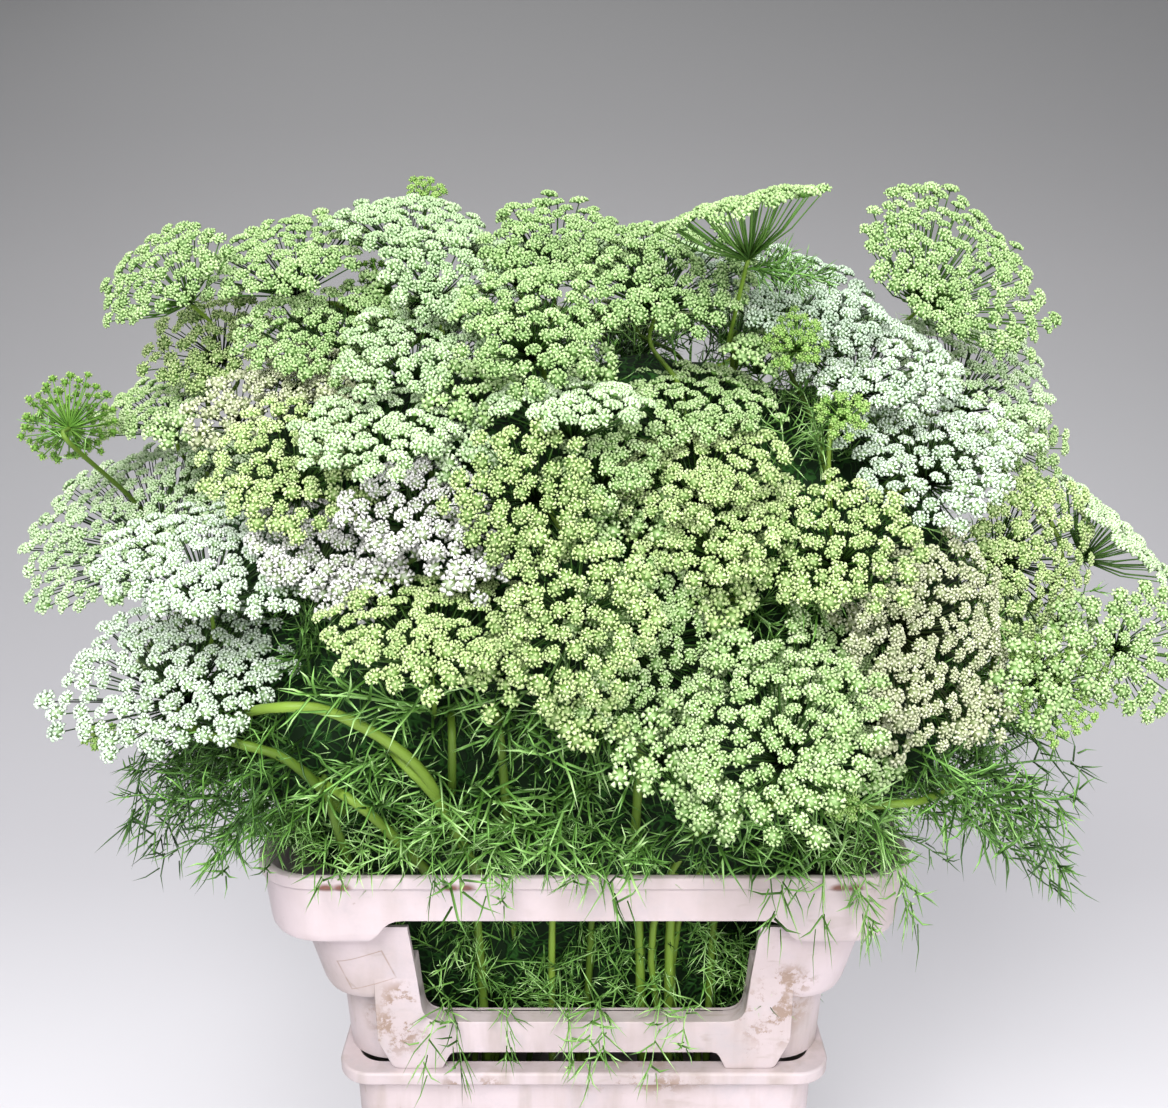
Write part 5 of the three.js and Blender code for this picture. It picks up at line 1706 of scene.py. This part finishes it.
@dataclass
class Vessel:
    """The bucket and its collar."""

    bucket_height: float = 0.355
    ledge_z: float = 0.417
    band_z: float = 0.480
    lip_z: float = 0.526
    top_z: float = 0.535
    window_bottom: float = 0.398
    window_top: float = 0.499
    slot_top: float = 0.370
    panel_top: float = 0.449
    recess: float = 0.012

    def bucket(self, finish: bpy.types.Material) -> None:
        """Builds the lower bucket."""
        height = self.bucket_height
        base = Plan(0.0, 0.330, 0.240, 0.024)
        top = Plan(height - 0.012, 0.354, 0.264, 0.024)
        flange = Plan(height - 0.010, 0.374, 0.288, 0.026)
        wall = top.inset(WALL, height)
        plans = [
            base.inset(0.004), base.inset(0.0013, 0.0014), base.inset(0, 0.004),
            Plan(0.172, 0.342, 0.252, 0.024), top.inset(0, height - 0.0140),
            top.inset(-0.0006, height - 0.0122), flange.inset(0.0012, height - 0.0104),
            flange.inset(0.0002, height - 0.0094), flange.inset(0, height - 0.0022),
            flange.inset(0.0007, height - 0.0007), flange.inset(0.0022, height),
            wall.inset(-0.0014), wall.inset(-0.0003, height - 0.0005), wall.inset(0, height - 0.002),
            base.inset(WALL, 0.012), base.inset(WALL + 0.0012, 0.0065), base.inset(WALL + 0.004, 0.004)]
        self.finished("bucket_wall", Moulding(plans, True), finish, [], "bucket")

    def collar_plans(self) -> list[Plan]:
        """Gives the collar's plans, from the foot up the outside and down the inside."""
        foot = Plan(self.bucket_height + 0.0003, 0.366, 0.276 - 2 * self.recess, 0.036)
        lower = Plan(self.ledge_z, 0.374, 0.282 - 2 * self.recess, 0.038)
        ledge = Plan(self.ledge_z + 0.003, 0.396, 0.284, 0.040)
        middle = Plan(self.band_z, 0.426, 0.308, 0.046)
        band_foot = Plan(self.band_z + 0.003, 0.458, 0.338, 0.044)
        band_top = Plan(self.lip_z - 0.001, 0.465, 0.345, 0.044)
        lip = Plan(self.lip_z, 0.470, 0.350, 0.045)
        outside = (
            (lower, self.ledge_z, ((0, -0.003), (-0.002, -0.0007))),
            (ledge, self.ledge_z, ((0.0045, 0), (0.0014, 0.0012), (0.0002, 0.0035), (-0.0012, 0.007))),
            (middle, self.band_z, ((0.0006, -0.003), (-0.0012, -0.0004))),
            (band_foot, self.band_z, ((0.0048, 0), (0.0015, 0.0012), (0.0002, 0.0036), (-0.0006, 0.008))),
            (band_top, self.lip_z, ((0.0004, -0.003), (-0.0007, -0.0012))),
            (lip, self.lip_z, ((0.0010, -0.0006), (0.0001, 0.0005))),
            (lip, self.top_z, ((0, -0.0022), (0.0006, -0.0007), (0.0021, 0))))
        inside_wall = (
            (band_top, self.top_z, ((-0.002, 0), (-0.0003, -0.0009), (0, -0.003))),
            (band_top, self.lip_z, ((0, -0.001),)),
            (band_foot, self.band_z + WALL, ((0, 0.003),)), (middle, self.band_z + WALL, ((0, 0),)),
            (ledge, self.ledge_z + WALL, ((0, 0.003),)), (lower, self.ledge_z + WALL, ((0, 0),)))
        rows = [plan.inset(by, z + up) for plan, z, steps in outside for by, up in steps]
        rows += [plan.inset(WALL + by, z + up) for plan, z, steps in inside_wall for by, up in steps]
        return [foot, *rows, foot.inset(WALL)]

    def cutters(self, with_brow: bool) -> list[bpy.types.Object]:
        """Makes the blocks that cut the windows and the slots, and the band where it swings up.

        Args:
            with_brow: Whether the band is cut too.

        Returns:
            The blocks.
        """
        front, past_tier = 0.181, 0.155
        window = rounded([
            (-0.119, self.window_bottom), (0.119, self.window_bottom),
            (0.128, self.window_top), (-0.128, self.window_top)], 0.014)
        slot = rounded([
            (-0.109, 0.350), (0.109, 0.350),
            (0.100, self.slot_top), (-0.100, self.slot_top)], 0.004, 3)
        made = [block_along_y(window, -front, front), block_along_y(slot, -front, front)]
        if with_brow:
            low = self.band_z - 0.012
            brow = [(-0.161, low), (0.161, low)]
            brow += bezier((0.161, self.band_z), (0.141, self.band_z), (0.147, self.window_top),
                           (0.127, self.window_top))
            brow += bezier((-0.127, self.window_top), (-0.147, self.window_top), (-0.141, self.band_z),
                           (-0.161, self.band_z))
            made += [block_along_y(brow, -front, -past_tier), block_along_y(brow, past_tier, front)]
        return made

    def collar(self, finish: bpy.types.Material) -> None:
        """Builds the collar: three tiers, the deep band and the lip, cut by its windows and slots."""
        moulding = Moulding(self.collar_plans(), False)
        self.finished("collar_shell", moulding, finish, self.cutters(True), "collar")

    def legs(self, finish: bpy.types.Material) -> None:
        """Builds the flat panels that stand before the lower tier: two legs and the sill between them."""
        outline = [
            (-0.1435, self.bucket_height + 0.0003), (0.1435, self.bucket_height + 0.0003), (0.1545, 0.380),
            (0.1545, self.panel_top), (-0.1545, self.panel_top), (-0.1545, 0.380)]
        outline = rounded(outline, 0.004, 4)
        for name, side in (("front", -1), ("back", 1)):
            depths = sorted((side * 0.1262, side * 0.1406))
            block = block_along_y(outline, *depths)
            block.name = block.data.name = "collar_legs_" + name
            for vert in block.data.vertices:
                if side * vert.co.y > 0.13:
                    vert.co.y = side * (0.1380 + 0.094 * (vert.co.z - self.bucket_height))
            cut(block, self.cutters(False))
            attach(block, ROOT)
            self.declared(block, finish, "collar")

    def finished(self, name: str, moulding: Moulding, finish: bpy.types.Material, cutters: list,
                 node: str) -> None:
        """Args:
            name: The piece's name.
            moulding: Its shell.
            finish: Its material.
            cutters: Blocks to cut out.
            node: The CAD node that it stands for.
        """
        piece = rooted(mesh_of(moulding.shell(), name))
        if cutters:
            cut(piece, cutters)
        self.declared(piece, finish, node)

    def declared(self, piece: bpy.types.Object, finish: bpy.types.Material, node: str) -> None:
        """Gives a piece its finish and eased edges, and hides the CAD node that it stands for.

        Args:
            piece: The piece.
            finish: Its material.
            node: The CAD node that it stands for.
        """
        piece.data.materials.clear()
        piece.data.materials.append(finish)
        piece.data.shade_smooth()
        ease = piece.modifiers.new("ease", "BEVEL")
        ease.width, ease.segments = 0.0008, 2
        ease.limit_method, ease.angle_limit = "ANGLE", math.radians(38)
        ease.use_clamp_overlap = True
        ease.harden_normals = False
        normals = piece.modifiers.new("normals", "WEIGHTED_NORMAL")
        normals.keep_sharp = True
        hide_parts(node)
        LOG.info("%s made", piece.name)


@dataclass(frozen=True)
class Mark:
    """A worn or stained spot: its place in X and Z, its reach and how flat it is."""

    x: float
    z: float
    reach: float
    flat: float = 1.0


RUST_PLACES = (-0.179, -0.168, -0.0925, -0.082, 0.177, 0.188)
RUST_MARKS = tuple(Mark(x, 0.5268, 0.0085, 1.9) for x in RUST_PLACES)
LEG_STAINS = (
    Mark(0.142, 0.405, 0.036), Mark(0.150, 0.435, 0.026, 1.4), Mark(-0.140, 0.392, 0.030),
    Mark(-0.136, 0.420, 0.018), Mark(0.128, 0.366, 0.016, 1.6))
BUCKET_STAINS = (Mark(0.045, 0.342, 0.060, 3.4), Mark(-0.085, 0.346, 0.03, 3.0))
OLD_LABEL = Mark(-0.159, 0.4445, 0.018, 1.35)


@dataclass(frozen=True)
class PlasticFinish:
    """Old moulded plastic: pinkish white, cloudy with dirt, with scuffs, brown stains and rust marks."""

    name: str
    pale: Colour = srgb(195, 181, 184)
    warm: Colour = srgb(177, 163, 162)
    cool: Colour = srgb(167, 162, 167)
    grime: Colour = srgb(150, 136, 124)
    stain: Colour = srgb(128, 100, 72)
    rust: Colour = srgb(104, 52, 26)

    def material(self) -> bpy.types.Material:
        """Builds the material on object coordinates."""
        material, graph = new_material(self.name)
        place = graph.place()
        cloudy = graph.noise(place, 9.0, 6.0, 0.6)
        fine = graph.noise(place, 90.0, 5.0, 0.65)
        patchy = graph.noise(place, 26.0, 8.0, 0.72)
        flaky = graph.noise(place, 46.0, 9.0, 0.74)
        streaks = graph.noise(graph.mapped(place, (60.0, 60.0, 9.0)), 1.0, 4.0)
        scratch = graph.noise(graph.mapped(place, (24.0, 420.0, 70.0), (0.3, 0.8, 0.5)), 1.0, 3.0)
        low = graph.maths("ADD", graph.times(graph.span(graph.parts(place)[2], 0.47, 0.37), 0.6), 0.35)
        dirt = graph.times(graph.times(graph.span(streaks, 0.5, 0.76), 0.6), low)
        flakes = graph.times(graph.span(flaky, 0.5, 0.53), graph.span(fine, 0.36, 0.5))
        stains = (self.marked(graph, place, marks) for marks in (LEG_STAINS, BUCKET_STAINS))
        spots = graph.times(flakes, graph.maths("MAXIMUM", *stains))
        label = graph.times(self.label_edge(graph, place), graph.span(fine, 0.3, 0.55))
        rust = graph.times(self.marked(graph, place, RUST_MARKS), graph.span(fine, 0.25, 0.4))
        lines = graph.times(graph.span(scratch, 0.64, 0.7), graph.span(cloudy, 0.42, 0.6))
        base = graph.mix(graph.span(cloudy, 0.38, 0.66), self.pale, self.warm)
        for mask, strength, colour in (
                (graph.span(patchy, 0.5, 0.72), 0.5, self.cool), (dirt, None, self.grime),
                (spots, 0.7, self.stain), (label, 0.5, self.stain), (rust, 0.9, self.rust),
                (graph.span(fine, 0.68, 0.73), 0.4, self.stain), (lines, 0.45, self.grime)):
            share = mask if strength is None else graph.times(mask, strength)
            base = graph.mix(share, base, colour)
        relief = graph.maths("ADD", graph.times(fine, 0.5), graph.times(scratch, 0.5))
        rough = graph.value("MapRange", {0: cloudy, 3: 0.36, 4: 0.6})
        graph.surface(base, rough, 0.4, graph.bump(relief, 0.2, 0.0012))
        return material

    def marked(self, graph: Graph, place: object, marks: tuple[Mark, ...]) -> object:
        """Masks the spots of a group of marks."""
        whole = None
        for mark in marks:
            flat = graph.mapped(place, (1.0, 0.0, mark.flat))
            spot = (mark.x, 0.0, mark.z * mark.flat)
            away = graph.node("VectorMath", {0: flat, 1: spot}, operation="DISTANCE").outputs["Value"]
            mask = graph.span(away, mark.reach, mark.reach * 0.4)
            whole = mask if whole is None else graph.maths("MAXIMUM", whole, mask)
        return whole

    def label_edge(self, graph: Graph, place: object) -> object:
        """Masks the thin, tilted outline that an old label left on the collar's left front."""
        moved = graph.vector("ADD", place, (-OLD_LABEL.x, 0.0, -OLD_LABEL.z))
        parts = graph.parts(graph.mapped(moved, (1.0, 1.0, 1.0), (0.0, 0.35, 0.0)))
        across, above = (graph.maths("ABSOLUTE", parts[axis]) for axis in (0, 2))
        away = graph.maths("MAXIMUM", across, graph.times(above, OLD_LABEL.flat))
        off = graph.maths("ABSOLUTE", graph.maths("SUBTRACT", away, OLD_LABEL.reach))
        front = graph.span(graph.parts(place)[1], -0.10, -0.12)
        return graph.times(graph.span(off, 0.0009, 0.0003), front)


def water_material() -> bpy.types.Material:
    """Makes still, faintly green water."""
    material, graph = new_material("still_water")
    ripple = graph.noise(graph.place(), 14.0, 3.0)
    colour = graph.ramp(ripple, [(0.3, srgb(92, 112, 84)), (0.7, srgb(128, 146, 118))])
    graph.surface(colour, 0.06, 0.5, graph.bump(ripple, 0.1, 0.002))
    return material


@dataclass
class Studio:
    """The floor with its backdrop, the soft lights and the camera."""

    sensor: float = 36.0
    near: float = 0.2
    reach: float = 3.3

    def floor(self) -> None:
        """Makes a pale floor that curves up into the backdrop, with a painted falloff of light: darker
        further back and higher up.
        """
        bm = bmesh.new()
        radius, back = 1.2, 2.0
        profile = [(-4.0, 0.0), (back - radius, 0.0)]
        profile += [
            (back - radius + radius * math.sin(a), radius - radius * math.cos(a))
            for a in np.linspace(0.1, math.pi / 2, 14)]
        profile += [(back, 4.5)]
        verts = [bm.verts.new((-5.0, y, z)) for y, z in profile]
        edges = [bm.edges.new(pair) for pair in zip(verts, verts[1:])]
        moved = of_kind(bmesh.ops.extrude_edge_only(bm, edges=edges), bmesh.types.BMVert)
        bmesh.ops.translate(bm, verts=moved, vec=(10.0, 0, 0))
        bmesh.ops.recalc_face_normals(bm, faces=bm.faces[:])
        if sum(f.normal.z for f in bm.faces) < 0:
            bmesh.ops.reverse_faces(bm, faces=bm.faces[:])
        mesh = mesh_of(bm, "studio_floor")
        mesh.shade_smooth()
        material, graph = new_material("pale_floor_painted_falloff")
        _, back, height = graph.parts(graph.place())
        along = graph.maths("ADD", graph.maths("MAXIMUM", back, self.near), height)
        along = graph.maths("DIVIDE", graph.maths("SUBTRACT", along, self.near), self.reach)
        # painted falloff of light: the colour darkens from the near floor up the backdrop
        colour = graph.ramp(along, [
            (0.02, srgb(212, 210, 214)), (0.23, srgb(195, 193, 197)), (0.6, srgb(169, 168, 170)),
            (0.8, srgb(149, 148, 149)), (1.0, srgb(116, 116, 116))])
        graph.surface(colour, 0.9, 0.1)
        mesh.materials.append(material)
        floor = linked("studio_floor", mesh)

    def lights(self) -> None:
        """Sets a large soft light above the front, fills at the sides and an even sky."""
        for name, place, size, power in (
                ("key", (-0.5, -2.0, 2.4), 1.1, 94.0), ("fill", (1.2, -2.1, 1.3), 1.4, 42.0),
                ("top", (0.2, 0.1, 3.0), 1.6, 30.0), ("back", (-0.6, 1.5, 2.2), 1.4, 14.0)):
            data = bpy.data.lights.new(name, "AREA")
            data.size, data.energy = size, power
            lamp = linked(name, data)
            lamp.location = place
            aim = Vector((0, 0, 0.62)) - Vector(place)
            lamp.rotation_euler = aim.to_track_quat("-Z", "Y").to_euler()
        world = bpy.data.worlds.new("sky")
        world.use_nodes = True
        sky = world.node_tree.nodes["Background"]
        sky.inputs["Color"].default_value = (0.92, 0.95, 1.0, 1.0)
        sky.inputs["Strength"].default_value = 0.34
        bpy.context.scene.world = world

    def camera(self) -> None:
        """Sets the camera at the photo's place."""
        data = bpy.data.cameras.new("photo_camera")
        data.sensor_width = self.sensor
        data.lens = VIEW.focal / VIEW.width * self.sensor
        camera = linked("photo_camera", data)
        camera.location = VIEW.place
        camera.rotation_euler = (math.radians(VIEW.pitch), 0, 0)
        bpy.context.scene.camera = camera


def dress_umbels(umbels: list[Umbel]) -> None:
    """Builds every umbel as a piece, the two of a back pair together."""
    builder = UmbelBuilder()
    finishes = {bloom: bloom.value.material() for bloom in Bloom}
    clouds: dict[str, Cloud] = {}
    for number, umbel in enumerate(umbels):
        clouds.setdefault(umbel.name, Cloud()).join(builder.build(umbel, number))
    total = 0
    for umbel in {umbel.name: umbel for umbel in umbels}.values():
        piece = clouds[umbel.name].piece(umbel.name + "_bloom", finishes[umbel.bloom])
        total += len(piece.data.polygons)
        if umbel.young or umbel.filler:
            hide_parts(bunch_of(umbel.hub))
        else:
            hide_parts(umbel.name)
    LOG.info("%d umbels, %d triangles", len(umbels), total)


def main() -> None:
    """Builds the whole scene in order."""
    logging.basicConfig(level=logging.INFO, format="%(name)s: %(message)s")
    studio = Studio()
    studio.camera()
    studio.lights()
    studio.floor()
    umbels = framed_umbels() + list(YOUNG_UMBELS)
    stems = StemBuilder(umbels)
    stems.route()
    stems.build()
    dome = Dome(framed_umbels())
    fillers = dome.front_fillers()
    dome.core()
    dress_umbels(umbels + fillers)
    Foliage(umbels + fillers, stems.stems, dome).build()
    vessel = Vessel()
    vessel.bucket(PlasticFinish("bucket_plastic").material())
    finish = PlasticFinish("collar_plastic").material()
    vessel.collar(finish)
    vessel.legs(finish)
    water = frame["nodes"]["water"]
    water.data.materials.clear()
    water.data.materials.append(water_material())
    bpy.context.scene.view_settings.view_transform = "Standard"


if __name__ == "__main__":
    main()
